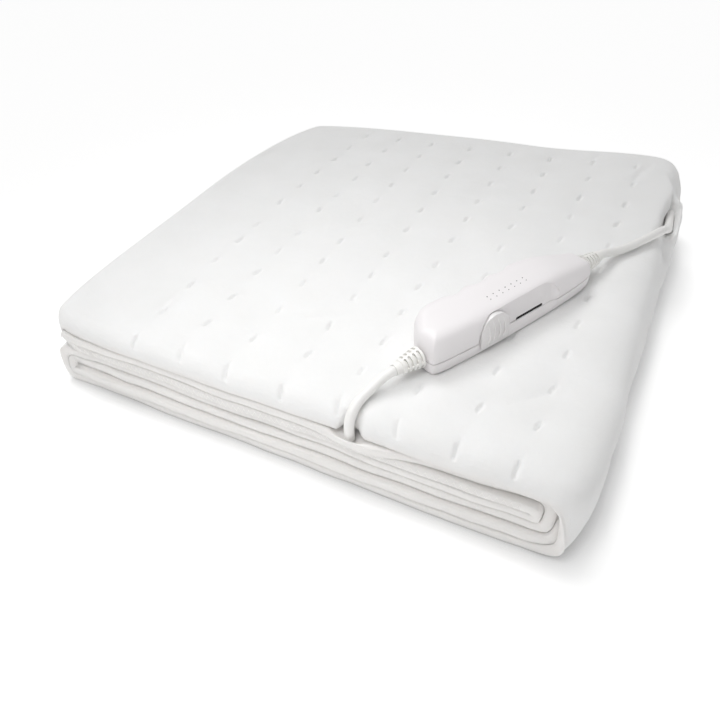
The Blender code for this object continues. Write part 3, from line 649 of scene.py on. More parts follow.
@dataclass
class FoldedCloth:
    """The padded sheet, doubled over across its width and folded twice along its length."""

    sheet: float = 0.0068
    slit: float = 0.0007
    air: float = 0.0009
    left_fold_x: float = -0.1842
    tip_x: float = -0.187
    tip_r: float = 0.012
    tip_turn: float = 85
    tip_run: float = 0.0045
    inner_end_x: float = -0.1912
    inner_fold_x: float = 0.158
    inner_front_x: float = 0.0170
    outer_fold_x: float = 0.175
    roll_y: float = -0.1855
    roll_r: float = 0.0100
    roll_tack_arc: float = 0.0045
    hem_round: float = 0.0025
    hem_swell: float = 0.00040
    hem_back: float = 0.0040
    hem_waves: Pair = (0.0018, 0.0009)
    layer_swell: float = 0.0021
    pinch_depth: float = 0.0125
    bed_x: float = 0.0555
    bed_flat: float = 0.0036
    bed_ease: Pair = (0.0042, 0.0085)
    bed_depth: float = 0.0060
    bed_squash: float = 0.40
    cord_gap: float = 0.0015
    half_x: float = 0.205
    half_y: float = 0.199
    # the widest steps along the hidden plies, along the top ply and along the face's rows
    station_step: float = 0.011
    column_step: float = 0.0050
    row_step: float = 0.0056
    tack_columns: Floats = (-0.115, -0.075, -0.036, 0.006, 0.046, 0.085, 0.124, 0.161)
    tack_rows: Floats = (-0.158, -0.126, -0.092, -0.061, -0.031, 0.007, 0.039, 0.072, 0.104, 0.138, 0.170)
    # a tack's slit (half width, depth), lips (place, half width, height), hollow (half widths, depth) and ends
    tack_slit: Pair = (0.0010, 0.00230)
    tack_lips: Triple = (0.0032, 0.0016, 0.00030)
    tack_hollow: Triple = (0.0085, 0.0095, 0.00140)
    tack_ends: Pair = (0.0024, 0.0046)
    # how far a tack's relief reaches across and along the cloth
    tack_reach: Pair = (0.022, 0.024)
    # soft creases on the top: both ends, half width and depth
    creases: Sequence[Floats] = (
        (-0.124, -0.166, -0.118, -0.141, 0.0024, 0.00120),
        (-0.098, -0.112, -0.070, -0.104, 0.0028, 0.00100),
        (-0.020, -0.128, 0.010, -0.110, 0.0030, 0.00100),
        (-0.052, -0.020, -0.030, 0.006, 0.0028, 0.00090),
        (0.118, 0.176, 0.136, 0.192, 0.0024, 0.00100),
        (0.160, 0.142, 0.172, 0.178, 0.0026, 0.00110),
        (0.020, 0.060, 0.052, 0.066, 0.0030, 0.00080),
        (0.136, -0.150, 0.160, -0.128, 0.0028, 0.00090),
    )
    # how far the cloth swells between the creases, slowly and quickly
    swells: Pair = (0.0022, 0.00040)
    # the inner end narrows to a nose: how far on, its share of the thickness and how far it droops
    nose: Sequence[Triple] = (
        (0.0, 0.96, 0.0001),
        (0.0025, 0.84, 0.0007),
        (0.0045, 0.66, 0.0014),
        (0.0060, 0.44, 0.0021),
        (0.0070, 0.20, 0.0027),
    )
    thread_r: float = 0.00042
    stitch: float = 0.0021
    stitch_share: float = 0.62
    flat_size: Pair = (1.59, 0.80)

    def __post_init__(self) -> None:
        """Work out the sizes that follow from the named ones, the tacks and the fold path."""
        self.ply = 2 * self.sheet + self.slit
        self.pitch = self.ply + self.air
        self.height = 4 * self.ply + 3 * self.air
        self.leg_mid = self.slit / 2 + self.sheet / 2
        self.small_r = self.pitch / 2
        self.big_r = 1.5 * self.pitch
        self.tacks = self.tack_places()
        self.stations = self.path()

    # ---- quilting

    def tack_places(self) -> list[Floats]:
        """Scatter the tacks a little off their grid.

        Returns:
            For each tack its x, its y along the cloth, its strength and its lean.
        """
        chance = random.Random(11)
        rolled_row = self.roll_y - self.roll_tack_arc
        found = []
        for column in self.tack_columns:
            for row in (rolled_row, *self.tack_rows):
                x = column + chance.uniform(-0.0007, 0.0007)
                y = row + chance.uniform(-0.0012, 0.0012)
                lean = chance.uniform(-0.10, 0.22) - (0.42 if row == rolled_row else 0.0)
                strength = chance.uniform(0.75, 1.15) * (1.4 if row == rolled_row else 1.0)
                found.append((x, y, strength, lean))
        return found

    def tack_relief(self, x: float, y: float) -> float:
        """Height that the tacks give the face: a narrow slit, its two lips and the soft hollow round it.

        Args:
            x: Place across the cloth.
            y: Place along it.

        Returns:
            The height.
        """
        (slit_wide, slit_deep), (lip_at, lip_wide, lip_high) = self.tack_slit, self.tack_lips
        hollow_x, hollow_y, hollow_deep = self.tack_hollow
        height = 0.0
        for tack_x, tack_y, strength, lean in self.tacks:
            north = y - tack_y
            east = x - tack_x - lean * north
            if abs(east) > self.tack_reach[0] or abs(north) > self.tack_reach[1]:
                continue
            ends = 1 - smoothstep(*self.tack_ends, abs(north))
            lips = lip_high * bell(abs(east) - lip_at, lip_wide) * ends
            slit = slit_deep * bell(east, slit_wide) * ends
            height += strength * (lips - slit - hollow_deep * bell(east, hollow_x) * bell(north, hollow_y))
        return height

    def soft_relief(self, x: float, y: float) -> float:
        """Height of the loose cloth between the tacks: creases and slow swells.

        Args:
            x: Place across the cloth.
            y: Place along it.

        Returns:
            The height.
        """
        slow, quick = self.swells
        height = slow * noise.noise(Vector((x * 23, y * 26, 0.7)))
        height += quick * noise.noise(Vector((x * 64 + 5, y * 80, 3.1)))
        for x0, y0, x1, y1, width, depth in self.creases:
            run_x, run_y = x1 - x0, y1 - y0
            length_sq = run_x * run_x + run_y * run_y
            share = ((x - x0) * run_x + (y - y0) * run_y) / length_sq
            if not -0.2 < share < 1.2:
                continue
            off_x, off_y = x - x0 - share * run_x, y - y0 - share * run_y
            side = (off_x * run_y - off_y * run_x) / math.sqrt(length_sq)
            fade = depth * smoothstep(-0.2, 0.25, share) * (1 - smoothstep(0.75, 1.2, share))
            height += fade * (0.5 * bell(abs(side) - 2.1 * width, width) - bell(side, width))
        return height

    # ---- the fold path

    def bed_share(self, x: float) -> float:
        """How far, from 0 to 1, the front cord's bed is pressed in at a place along the front."""
        ease = self.bed_ease[0] if x < self.bed_x else self.bed_ease[1]
        return 1 - smoothstep(self.bed_flat, self.bed_flat + ease, abs(x - self.bed_x))

    def hem_wave(self, along: float, seed: float) -> float:
        """How far a hem, told by its seed, wanders from its straight line."""
        slow, quick = (noise.noise(Vector((along * rate, seed, turn))) for rate, turn in ((10, 0.0), (42, 4.0)))
        return self.hem_waves[0] * slow + self.hem_waves[1] * quick

    def straight(self, z: float, xs: Floats, heading: float, ply: Ply) -> list[Station]:
        """Stations along a flat stretch of one ply, at each x, with the height of its middle line."""
        return [Station(x, z, heading, REACH[ply]) for x in xs]

    def turn(
        self, centre: Pair, radius: float, first: float, last: float, steps: int, plies: tuple[Ply, Ply],
        outer: bool = False,
    ) -> list[Station]:
        """Stations round a fold, without its two ends.

        Args:
            centre: The fold's centre, x and z.
            radius: Radius of the middle line.
            first: Heading where the fold starts, in degrees.
            last: Heading where it ends.
            steps: How many steps the fold has.
            plies: The ply before it and the ply after it.
            outer: Whether this is the outer right fold, which the cord pinches.

        Returns:
            The stations.
        """
        side = -1 if last < first else 1
        found = []
        for step in range(1, steps):
            heading = mix(first, last, step / steps)
            angle = math.radians(heading)
            share = smoothstep(0.0, 1.0, step / steps)
            reach = REACH[plies[0]].towards(REACH[plies[1]], share)
            cover = 0.0012 * math.sin(math.pi * step / steps) if plies[1] == Ply.SECOND else 0.0
            drawn = self.hem_back * share if plies[1] == Ply.THIRD else 0.0
            reach = replace(reach, a=reach.a - cover, b=reach.b - cover + drawn)
            x, z = centre[0] + side * radius * math.sin(angle), centre[1] - side * radius * math.cos(angle)
            found.append(Station(x, z, heading, reach, fold_turn=heading + 90 if outer else None))
        return found

    def free_end(self, top_z: float) -> list[Station]:
        """Stations of the top ply's free end, which curls down over the ply under it.

        Args:
            top_z: Height of the top ply's middle line.

        Returns:
            The stations, from the end on.
        """
        turns = [(self.tip_turn, run, thin) for run, thin in ((1.0, 0.55), (0.85, 0.86), (0.6, 0.98), (0.3, 1.0))]
        turns += [(mix(self.tip_turn, 0, step / 12), 0.0, 1.0) for step in range(12)]
        found = []
        for heading, run, thin in turns:
            angle, down = math.radians(heading), run * self.tip_run
            x = self.tip_x - self.tip_r * math.sin(angle) - down * math.cos(angle)
            z = top_z - self.tip_r + self.tip_r * math.cos(angle) - down * math.sin(angle)
            found.append(Station(x, z, heading, REACH[Ply.TOP], thin=thin))
        return found

    def column_stops(self) -> list[float]:
        """Where the stations of the top ply stand: close together at each column of tacks and at the cord.

        Returns:
            The places along X, in rising order.
        """
        near = (-0.0060, -0.0036, -0.0021, -0.0011, 0.0, 0.0011, 0.0021, 0.0036, 0.0060)
        stops = {self.tip_x, self.outer_fold_x}
        stops.update(round(column + step, 5) for column in self.tack_columns for step in near)
        steps = (-0.0080, -0.0065, -0.0050, -0.0036, -0.0018, 0.0, 0.0030, 0.0060, 0.0090, 0.0120)
        bed = [self.bed_x + step for step in steps]
        stops.update(place for place in bed if all(abs(place - stop) > 0.0007 for stop in stops))
        return filled(sorted(stops), self.column_step)

    def path(self) -> list[Station]:
        """Lay all stations, from the top ply's free end to the free end of the ply under it.

        Returns:
            The stations with their distance along the path.
        """
        bottom_z = self.ply / 2
        second_z, third_z, top_z = (bottom_z + self.pitch * step for step in (1, 2, 3))
        low_xs = filled([self.left_fold_x, self.outer_fold_x], self.station_step)
        second_xs = filled([self.left_fold_x, self.inner_fold_x], self.station_step)
        bed = [self.bed_x + side for side in (-0.016, -0.009, -0.003, 0.003, 0.009, 0.016)]
        third_xs = filled([self.inner_end_x + 0.004, *bed, self.inner_fold_x], self.station_step)
        tops = self.straight(top_z, self.column_stops(), 0, Ply.TOP)
        for place in tops:
            place.sink = self.bed_depth * self.bed_share(place.x)
            reach = place.reach
            place.reach = replace(reach, a=reach.a + place.sink, b=reach.b + 1.3 * place.sink)
        thirds = self.straight(third_z, third_xs[::-1], -180, Ply.THIRD)
        for run, squeeze, down in self.nose:
            x = self.inner_end_x - run
            thirds.append(Station(x, third_z - down, -180, REACH[Ply.THIRD], squeeze=squeeze))
        for place in thirds:
            lip = 0.0030 * (1 - smoothstep(self.bed_flat, 0.034, abs(place.x - self.bed_x)))
            out = 0.0022 * (1 - smoothstep(-0.190, -0.120, place.x))
            reach = place.reach
            b = reach.b + self.hem_back * smoothstep(0.065, 0.105, place.x) - lip - out
            place.reach = replace(reach, a=reach.a - out, b=b)
        outer, left = (self.outer_fold_x, self.height / 2), (self.left_fold_x, bottom_z + self.small_r)
        inner = (self.inner_fold_x, second_z + self.small_r)
        stations = self.free_end(top_z) + tops
        stations += self.turn(outer, self.big_r, 0, -180, 48, (Ply.TOP, Ply.BOTTOM), outer=True)
        stations += self.straight(bottom_z, low_xs[::-1], -180, Ply.BOTTOM)
        stations += self.turn(left, self.small_r, -180, -360, 16, (Ply.BOTTOM, Ply.SECOND))
        stations += self.straight(second_z, second_xs, -360, Ply.SECOND)
        stations += self.turn(inner, self.small_r, -360, -180, 16, (Ply.SECOND, Ply.THIRD)) + thirds
        travelled = 0.0
        for before, place in zip(stations[:1] + stations, stations):
            travelled += math.hypot(place.x - before.x, place.z - before.z)
            place.along = travelled
            if place.z < self.pitch + self.ply:
                place.closed = 1 - smoothstep(self.left_fold_x - 0.002, self.left_fold_x + 0.030, place.x)
            reach = place.reach
            wave = 1 - 0.8 * place.closed
            a = reach.a + self.hem_wave(travelled, 1.5) * (0.3 if reach.roll > 0.5 else wave)
            b = mix(reach.b, reach.a, place.closed) + self.hem_wave(travelled, 7.5) * wave
            place.reach = replace(reach, a=a, b=b)
        return stations

    # ---- the section of the doubled sheet

    def rolled(self, y: float, offset: float, place: Station) -> Pair:
        """Find a point of the outer half, with the front rolled over.

        Args:
            y: Place along the cloth.
            offset: Distance from the half's middle.
            place: The station.

        Returns:
            The point's y and its distance from the ply's middle line.
        """
        start = self.roll_y + place.sink
        past = start - y
        if past <= 0 or place.reach.roll < 0.01:
            return y, self.leg_mid + offset
        radius = self.roll_r / place.reach.roll
        angle = min(past / radius, place.reach.roll * math.pi / 2)
        left_over = past - angle * radius
        out_y = start - (radius + offset) * math.sin(angle) - left_over * math.cos(angle)
        out_n = self.leg_mid - radius + (radius + offset) * math.cos(angle) - left_over * math.sin(angle)
        return out_y, out_n

    def row_stops(self) -> list[float]:
        """Where the rows of the outer face stand, close together at each row of tacks.

        Returns:
            The places along the cloth, in rising order.
        """
        near = (0.0, 0.0015, 0.0030, 0.0044, 0.0062)
        stops = {self.roll_y - 0.0090, self.roll_y, self.tack_rows[-1] + 0.014}
        for row, steps in [(row, near) for row in self.tack_rows] + [(self.roll_y - self.roll_tack_arc, near[:3])]:
            stops.update(round(row + side * step, 5) for step in steps for side in (-1, 1))
        return filled(sorted(stops), self.row_step)

    def section(self, place: Station) -> list[Floats]:
        """Draw the closed section at one station.

        Args:
            place: The station.

        Returns:
            For each point its y, its distance from the ply's middle line, its place along the outer face
            or -1 where it isn't on it, and how much of a hem it is.
        """
        reach, half = place.reach, self.sheet / 2 * place.thin + 0.45 * self.slit * place.closed
        turn_r = self.sheet + self.slit / 2 - (1 - place.thin) * self.sheet / 2
        turn_y = reach.back - self.sheet - self.slit / 2
        rows = self.row_stops()
        start = reach.a + self.hem_round
        if start > rows[0] - 0.002:
            pinned = rows.index(self.roll_y) + 4
            rows = [mix(start + 0.001, rows[pinned], step / pinned) for step in range(pinned)] + rows[pinned:]
        points = []
        for y in [mix(start, rows[0], step / 6) for step in range(6)] + rows:
            points.append((*self.rolled(y, half, place), y, 1 - smoothstep(reach.a, reach.a + 0.006, y)))
        points.append((turn_y, self.leg_mid + half, -1.0, 0.0))
        for step in range(1, 12):
            angle = math.pi / 2 - math.pi * step / 12
            points.append((turn_y + turn_r * math.cos(angle), turn_r * math.sin(angle), -1.0, 0.0))
        hem_round = self.hem_round * (1 - 0.72 * place.closed)
        bends = [(math.pi * step / 8, 1 - math.sin(math.pi * step / 8) ** 0.56) for step in range(1, 8)]
        hem = reach.b + self.hem_round
        under = [-value for value in filled([-turn_y, 0.12], 0.1)]
        ends = [hem + step for step in (0.034, 0.021, 0.013, 0.007, 0.003, 0.0)]
        under, ends = under + ends[:-3], ends[-3:]
        full = half + self.hem_swell
        points += [(y, -self.leg_mid - half, -1.0, 0.0) for y in under]
        points += [(y, -self.leg_mid - full, -1.0, 1.0) for y in ends]
        for angle, bend in bends:
            y = hem - self.hem_round + hem_round * bend
            points.append((y, -self.leg_mid - full * math.cos(angle), -1.0, 1.0))
        points += [(y, -self.leg_mid + full, -1.0, 1.0) for y in reversed(ends)]
        points += [(y, -self.leg_mid + half, -1.0, 1.0) for y in reversed(under)]
        points.append((turn_y + self.slit / 2, 0.0, -1.0, 1.0))
        points += [(*self.rolled(max(y, start), -half, place), -1.0, 1.0) for y in under + ends[:-1]]
        for angle, bend in bends:
            points.append((*self.rolled(reach.a + hem_round * bend, -full * math.cos(angle), place), -1.0, 1.0))
        return points

    # ---- the pile's outline and uneven top

    def pinch(self, place: Station, y: float) -> float:
        """How far the outer right fold is pressed in where the cord goes under its lip.

        Args:
            place: The station.
            y: Place along the pile.

        Returns:
            The depth.
        """
        if place.fold_turn is None:
            return 0.0
        shallow = 0.0024 * smoothstep(-0.16, 0.05, y) * (1 - smoothstep(0.10, 0.16, y))
        groove = shallow * (bell(place.fold_turn - 30, 15) - 0.5 * bell(place.fold_turn - 2, 12))
        off = abs(place.fold_turn - 36) / 30
        if off >= 1:
            return groove
        closing = 1 - 0.35 * smoothstep(0.1340, 0.1500, y) - 0.65 * smoothstep(0.150, 0.200, y)
        run = smoothstep(0.050, 0.095, y) * closing
        return groove * (1 - run) + self.pinch_depth * (0.5 + 0.5 * math.cos(math.pi * off)) * run

    def height_share(self, x: float, y: float) -> float:
        """How much higher or lower than its even height the pile stands at a place.

        Args:
            x: Place across the pile.
            y: Place along it.

        Returns:
            The share, about 1.
        """
        right_back = smoothstep(0.06, 0.19, x) * smoothstep(0.02, 0.17, y)
        left_back = smoothstep(-0.02, -0.19, x) * smoothstep(0.02, 0.19, y)
        swell = math.sin(21 * x + 1.3) * math.sin(17 * y - 0.7) + 0.5 * math.sin(43 * x - 31 * y)
        return 1 + 0.12 * right_back - 0.020 * left_back + 0.008 * swell

    def pressed(self, x: float, y: float, z: float) -> float:
        """Height of a point of the ply under the roll, pressed thinner where the front cord ends.

        Args:
            x: The point's x.
            y: Its y.
            z: Its even height.

        Returns:
            The pressed height.
        """
        floor = 2 * self.pitch
        if not floor < z < 3 * self.pitch - self.air / 2 or y > -0.170:
            return z
        along = smoothstep(-0.2025, -0.2000, y) * (1 - smoothstep(-0.185, -0.170, y))
        return floor + (z - floor) * (1 - self.bed_squash * along * self.bed_share(x))

    def squared(self, x: float, z: float, centre: Pair, power: float) -> Pair:
        """Push a point of a round fold out towards a squarer one.

        Args:
            x: The point's x.
            z: Its z.
            centre: The fold's centre.
            power: 2 is a round fold, and more is a squarer one.

        Returns:
            The point's new x and z.
        """
        east, up = x - centre[0], z - centre[1]
        reach = math.hypot(east, up)
        if reach < 1e-6:
            return x, z
        scale = (abs(east / reach) ** power + abs(up / reach) ** power) ** (-1 / power)
        return centre[0] + east * scale, centre[1] + up * scale

    def shaped(self, x: float, y: float, z: float) -> Vector:
        """Move a point of the even pile to the uneven pile's outline and height.

        Args:
            x: The point's x.
            y: Its y.
            z: Its z.

        Returns:
            The point's place in the model.
        """
        z = self.pressed(x, y, z)
        if x > self.outer_fold_x:
            x, z = self.squared(x, z, (self.outer_fold_x, self.height / 2), 3.0 if 2 * z > self.height else 4.5)
        if x < self.left_fold_x and z < 2 * self.pitch - self.air / 2:
            x, z = self.squared(x, z, (self.left_fold_x, self.pitch - self.air / 2), 3.0)
        back, left, right = max(0.0, y / self.half_y), max(0.0, -x / self.half_x), max(0.0, x / self.half_x)
        upper = smoothstep(0.47, 0.53, z / self.height)
        tip_pull = 0.045 * upper * left
        front_pull = tip_pull + 0.029 * (1 - upper) * left + 0.038 * smoothstep(0.0, 1.0, right)
        x_pull, y_pull, lean = (0.045, 0.045, 0.002) if y > 0 else (front_pull, tip_pull, 0.005)
        new_x = x * (1 - x_pull * min(1.0, abs(y) / self.half_y) ** 8)
        new_y = y * (1 - y_pull * min(1.0, abs(x) / self.half_x) ** 8)
        new_x += 0.020 * left * back**2 + lean * right**2 * (y / self.half_y)
        new_y -= 0.021 * ((0.18 - x) / 0.352) ** 2 * back**2
        waist = smoothstep(-0.20, -0.02, y) * (1 - smoothstep(0.030, 0.100, y))
        new_x -= 0.0024 * waist * smoothstep(0.10, 0.19, x)
        return Vector((new_x - 0.0005, new_y + 0.0023, z * self.height_share(x, y)))

    def layer_wave(self, place: Vector) -> float:
        """How far the layers inside the pile rise and sink, with none at its top and underside.

        Args:
            place: A point of the pile.

        Returns:
            The height.
        """
        wave = noise.noise(Vector((place.x * 11, place.y * 9, 2.2)))
        wave += 0.6 * noise.noise(Vector((place.x * 31, place.y * 22, 8.2)))
        return self.layer_swell * wave * math.sin(math.pi * min(1.0, max(0.0, place.z / self.height))) ** 1.5

    def mapped(self, place: Station, y: float, n: float, relief: float = 0.0) -> Vector:
        """Put a point of a section at its place in the model.

        Args:
            place: The station.
            y: The point's y.
            n: Its distance from the ply's middle line.
            relief: Height of the face's own relief there.

        Returns:
            The point's place.
        """
        angle = math.radians(place.heading)
        out = n * place.squeeze + relief - self.pinch(place, y)
        slide = place.reach.shift * self.inner_front_x * (1 - smoothstep(-0.06, 0.05, y))
        x = place.x + slide * smoothstep(0.0, self.inner_fold_x, place.x)
        even_z = place.z + out * math.cos(angle)
        spot = self.shaped(x - out * math.sin(angle), y, even_z)
        spot.z = 0.0 if even_z < 1e-6 else max(0.0, spot.z + self.layer_wave(spot))
        return spot

    def add_pocket(self, row: Sequence[Vector], y: float) -> None:
        """Draw the outer fold to two soft lips with a pocket between them, which the cord goes down into.

        Args:
            row: One row of points of the outer face, a point for each station.
            y: The row's place along the cloth.
        """
        share = smoothstep(0.066, 0.088, y) * (1 - smoothstep(0.138, 0.176, y))
        if share <= 0:
            return
        turns = {index: place.fold_turn for index, place in enumerate(self.stations) if place.fold_turn is not None}
        first, last, side = (min(turns, key=lambda index: abs(turns[index] - turn)) for turn in (85, 6, 0))
        start, end = row[first].copy(), row[last].copy()
        drawn = row[side].x - 0.2052
        edge = mix(0.1880, 0.1966, smoothstep(0.100, 0.176, y)) + drawn
        top = start.z + 0.0006 * smoothstep(0.084, 0.130, y)
        deep = mix(0.0515, 0.0468, smoothstep(0.088, 0.1035, y))
        deep = mix(mix(deep, 0.0446, smoothstep(0.1035, 0.1165, y)), 0.0530, smoothstep(0.1305, 0.1440, y))
        rim = mix(mix(0.0535, 0.0556, smoothstep(0.076, 0.096, y)), 0.0505, smoothstep(0.108, 0.140, y))
        rim = max(rim, deep + 0.0006)
        # from the top face over the upper lip, down into the pocket, and over the lower lip to the side
        shape = [
            (start.x, start.z),
            (mix(start.x, edge, 0.60), top),
            (edge - 0.0016, top - 0.0004),
            (edge + 0.0002, top - 0.0018),
            (min(edge + 0.0020, 0.1928 + drawn), max(top - 0.0050, deep + 0.0040)),
            (min(edge + 0.0030, 0.1932 + drawn), max(top - 0.0092, deep + 0.0036)),
            (0.1932, deep + 0.0024),
            (0.1972, deep),
            (0.2011, deep + 0.0024),
            (0.2016 + drawn, mix(deep, rim, 0.72)),
            (0.2024 + drawn, rim - 0.0003),
            (0.2034 + drawn, rim),
            (0.2044 + drawn, rim - 0.0020),
            (0.2050 + drawn, rim - 0.0070),
            (mix(end.x, 0.2052 + drawn, 0.7), mix(end.z, rim - 0.0070, 0.6)),
            (end.x, end.z),
        ]
        for index in range(first + 1, last):
            at = (index - first) / (last - first) * (len(shape) - 1)
            low = min(int(at), len(shape) - 2)
            x, z = (mix(before, after, at - low) for before, after in zip(shape[low], shape[low + 1]))
            spot = row[index]
            spot.x, spot.z = mix(spot.x, x, share), mix(spot.z, z, share)

    def clear_of(self, verts: list[Vector], line: Sequence[Vector], radius: float) -> None:
        """Press the cloth away from a cord that lies on it.

        Args:
            verts: All points of the cloth.
            line: The cord's middle line.
            radius: How near to that line a point may come.
        """
        lows = [min(point[axis] for point in line) - radius for axis in range(3)]
        highs = [max(point[axis] for point in line) + radius for axis in range(3)]
        for spot in verts:
            if not all(low < value < high for low, value, high in zip(lows, spot, highs)):
                continue
            nearest = (nearest_on(start, end, spot) for start, end in zip(line, line[1:]))
            near = min(nearest, key=lambda point: (point - spot).length_squared)
            away = spot - near
            if 1e-6 < away.length < radius:
                spot.xyz = near + away * (radius / away.length)

    # ---- the mesh

    def points(self, control: "HandControl") -> tuple[list[Vector], list[float], list[Pair]]:
        """Work out every point of the cloth, station by station.

        Args:
            control: The hand control, which presses the cloth flat.

        Returns:
            The points, how much of a hem each is, and its place on the cloth.
        """
        verts, hems, uvs = [], [], []
        for place in self.stations:
            before, run = None, 0.0
            for y, n, face_y, hem in self.section(place):
                relief = 0.0
                upward = place.heading == 0 and face_y > -0.5
                if upward:
                    relief = self.tack_relief(place.x, face_y) + self.soft_relief(place.x, face_y)
                elif face_y > -0.5 and place.fold_turn is not None:
                    beyond = self.outer_fold_x + self.big_r * math.radians(90 - place.fold_turn)
                    relief = self.soft_relief(beyond, face_y)
                spot = self.mapped(place, y, n, relief)
                if upward:
                    spot.z = control.dent(spot)
                run += math.hypot(y - before[0], n - before[1]) if before else 0.0
                before = (y, n)
                verts.append(spot)
                hems.append(hem)
                uvs.append((place.along, run))
        return verts, hems, uvs

    def build(self, control: "HandControl", cords: Sequence["CordRun"]) -> None:
        """Build the cloth as one closed mesh and hand it over.

        Args:
            control: The hand control, which presses the cloth flat.
            cords: The cords, which it gives way to.
        """
        verts, hems, uvs = self.points(control)
        count = len(verts) // len(self.stations)
        for row, (_, _, face_y, _) in enumerate(self.section(self.stations[0])):
            if face_y > -0.5:
                self.add_pocket(verts[row::count], face_y)
        for cord in cords:
            self.clear_of(verts, cord.fine_points(control), cord.diameter / 2 + self.cord_gap)
        faces = []
        for low in range(0, len(verts) - count, count):
            high = low + count
            for row in range(count):
                after = (row + 1) % count
                faces.append((low + row, high + row, high + after, low + after))
        ends = [range(count), reversed(range(len(verts) - count, len(verts)))]
        mesh = bpy.data.meshes.new("folded_cloth")
        mesh.from_pydata(verts, [], faces + [list(end) for end in ends])
        layer = mesh.uv_layers.new(name="cloth")
        end_run = max(run for _, run in uvs) + 0.001
        for polygon in mesh.polygons:
            for loop in polygon.loop_indices:
                vert = mesh.loops[loop].vertex_index
                along, run = uvs[vert]
                wraps = vert % count == 0 and polygon.index % count == count - 1
                layer.data[loop].uv = (along, end_run if wraps else run)
        mesh.attributes.new("hem", "FLOAT", "POINT").data.foreach_set("value", hems)
        mesh_bm = bmesh.new()
        mesh_bm.from_mesh(mesh)
        caps = [face for face in mesh_bm.faces if len(face.verts) > 4]
        bmesh.ops.triangulate(mesh_bm, faces=caps, ngon_method="EAR_CLIP")
        bmesh.ops.recalc_face_normals(mesh_bm, faces=mesh_bm.faces)
        mesh_bm.to_mesh(mesh)
        mesh_bm.free()
        mesh.materials.append(CLOTH.material())
        mesh.shade_smooth()
        cloth = new_object("folded_cloth", mesh)
        hand_over(cloth, Body.PILE, ["blanket"])

    # ---- overlock stitches along the hems

    def flat_station(self, stations: Sequence[Station], x: float) -> Station:
        """Read a station at any place along a flat ply.

        Args:
            stations: The ply's stations, in the order of their places.
            x: Place along the front.

        Returns:
            A station at that place.
        """
        low, high = next(pair for pair in zip(stations, stations[1:]) if pair[0].x <= x <= pair[1].x)
        share = (x - low.x) / max(1e-9, high.x - low.x)
        return Station(x, low.z, low.heading, low.reach.towards(high.reach, share))

    def overlock(self) -> None:
        """Sew the zigzag of overlock thread along the hems that show at the front."""
        flat = sorted(self.stations, key=lambda place: place.x)
        third_z = self.ply / 2 + 2 * self.pitch
        thirds = [place for place in flat if place.heading == -180 and abs(place.z - third_z) < 1e-4]
        bottoms = [place for place in flat if place.heading == -180 and place.z < self.ply]
        seconds = [place for place in flat if place.heading == -360]
        chance = random.Random(5)
        runs = ((thirds, "b", 0.7), (thirds, "a", 1.0), (seconds, "b", 0.6), (bottoms, "b", 0.6), (bottoms, "a", 0.6))
        lines = []
        for stations, half, thickness in runs:
            mid = self.leg_mid if half == "a" else -self.leg_mid
            x, last = stations[0].x + 0.004, stations[-1].x - 0.004
            points, rise = [], self.stitch_share
            while x < last:
                place = self.flat_station(stations, x)
                front = getattr(place.reach, half) + 0.00035 + 0.0003 * (1 - thickness)
                points.append(self.mapped(place, front, mid + self.sheet / 2 * rise))
                x += self.stitch * chance.uniform(0.85, 1.15)
                rise = -rise
            lines.append((points, thickness))
        thread = tube("overlock_thread", self.thread_r, 1, lines)
        make_active(thread)
        bpy.ops.object.convert(target="MESH")
        thread.data.materials.clear()
        thread.data.materials.append(THREAD.material())
        hand_over(thread, Body.PILE)


# ---------------------------------------------------------------- the hand control


@dataclass(frozen=True)
class Ring:
    """One ring of a shell: its height above the underside and its share of the outline's size."""

    w: float
    along: float
    across: float


def rings(*rows: Triple) -> tuple[Ring, ...]:
    """Make rings from their sizes."""
    return tuple(Ring(*row) for row in rows)


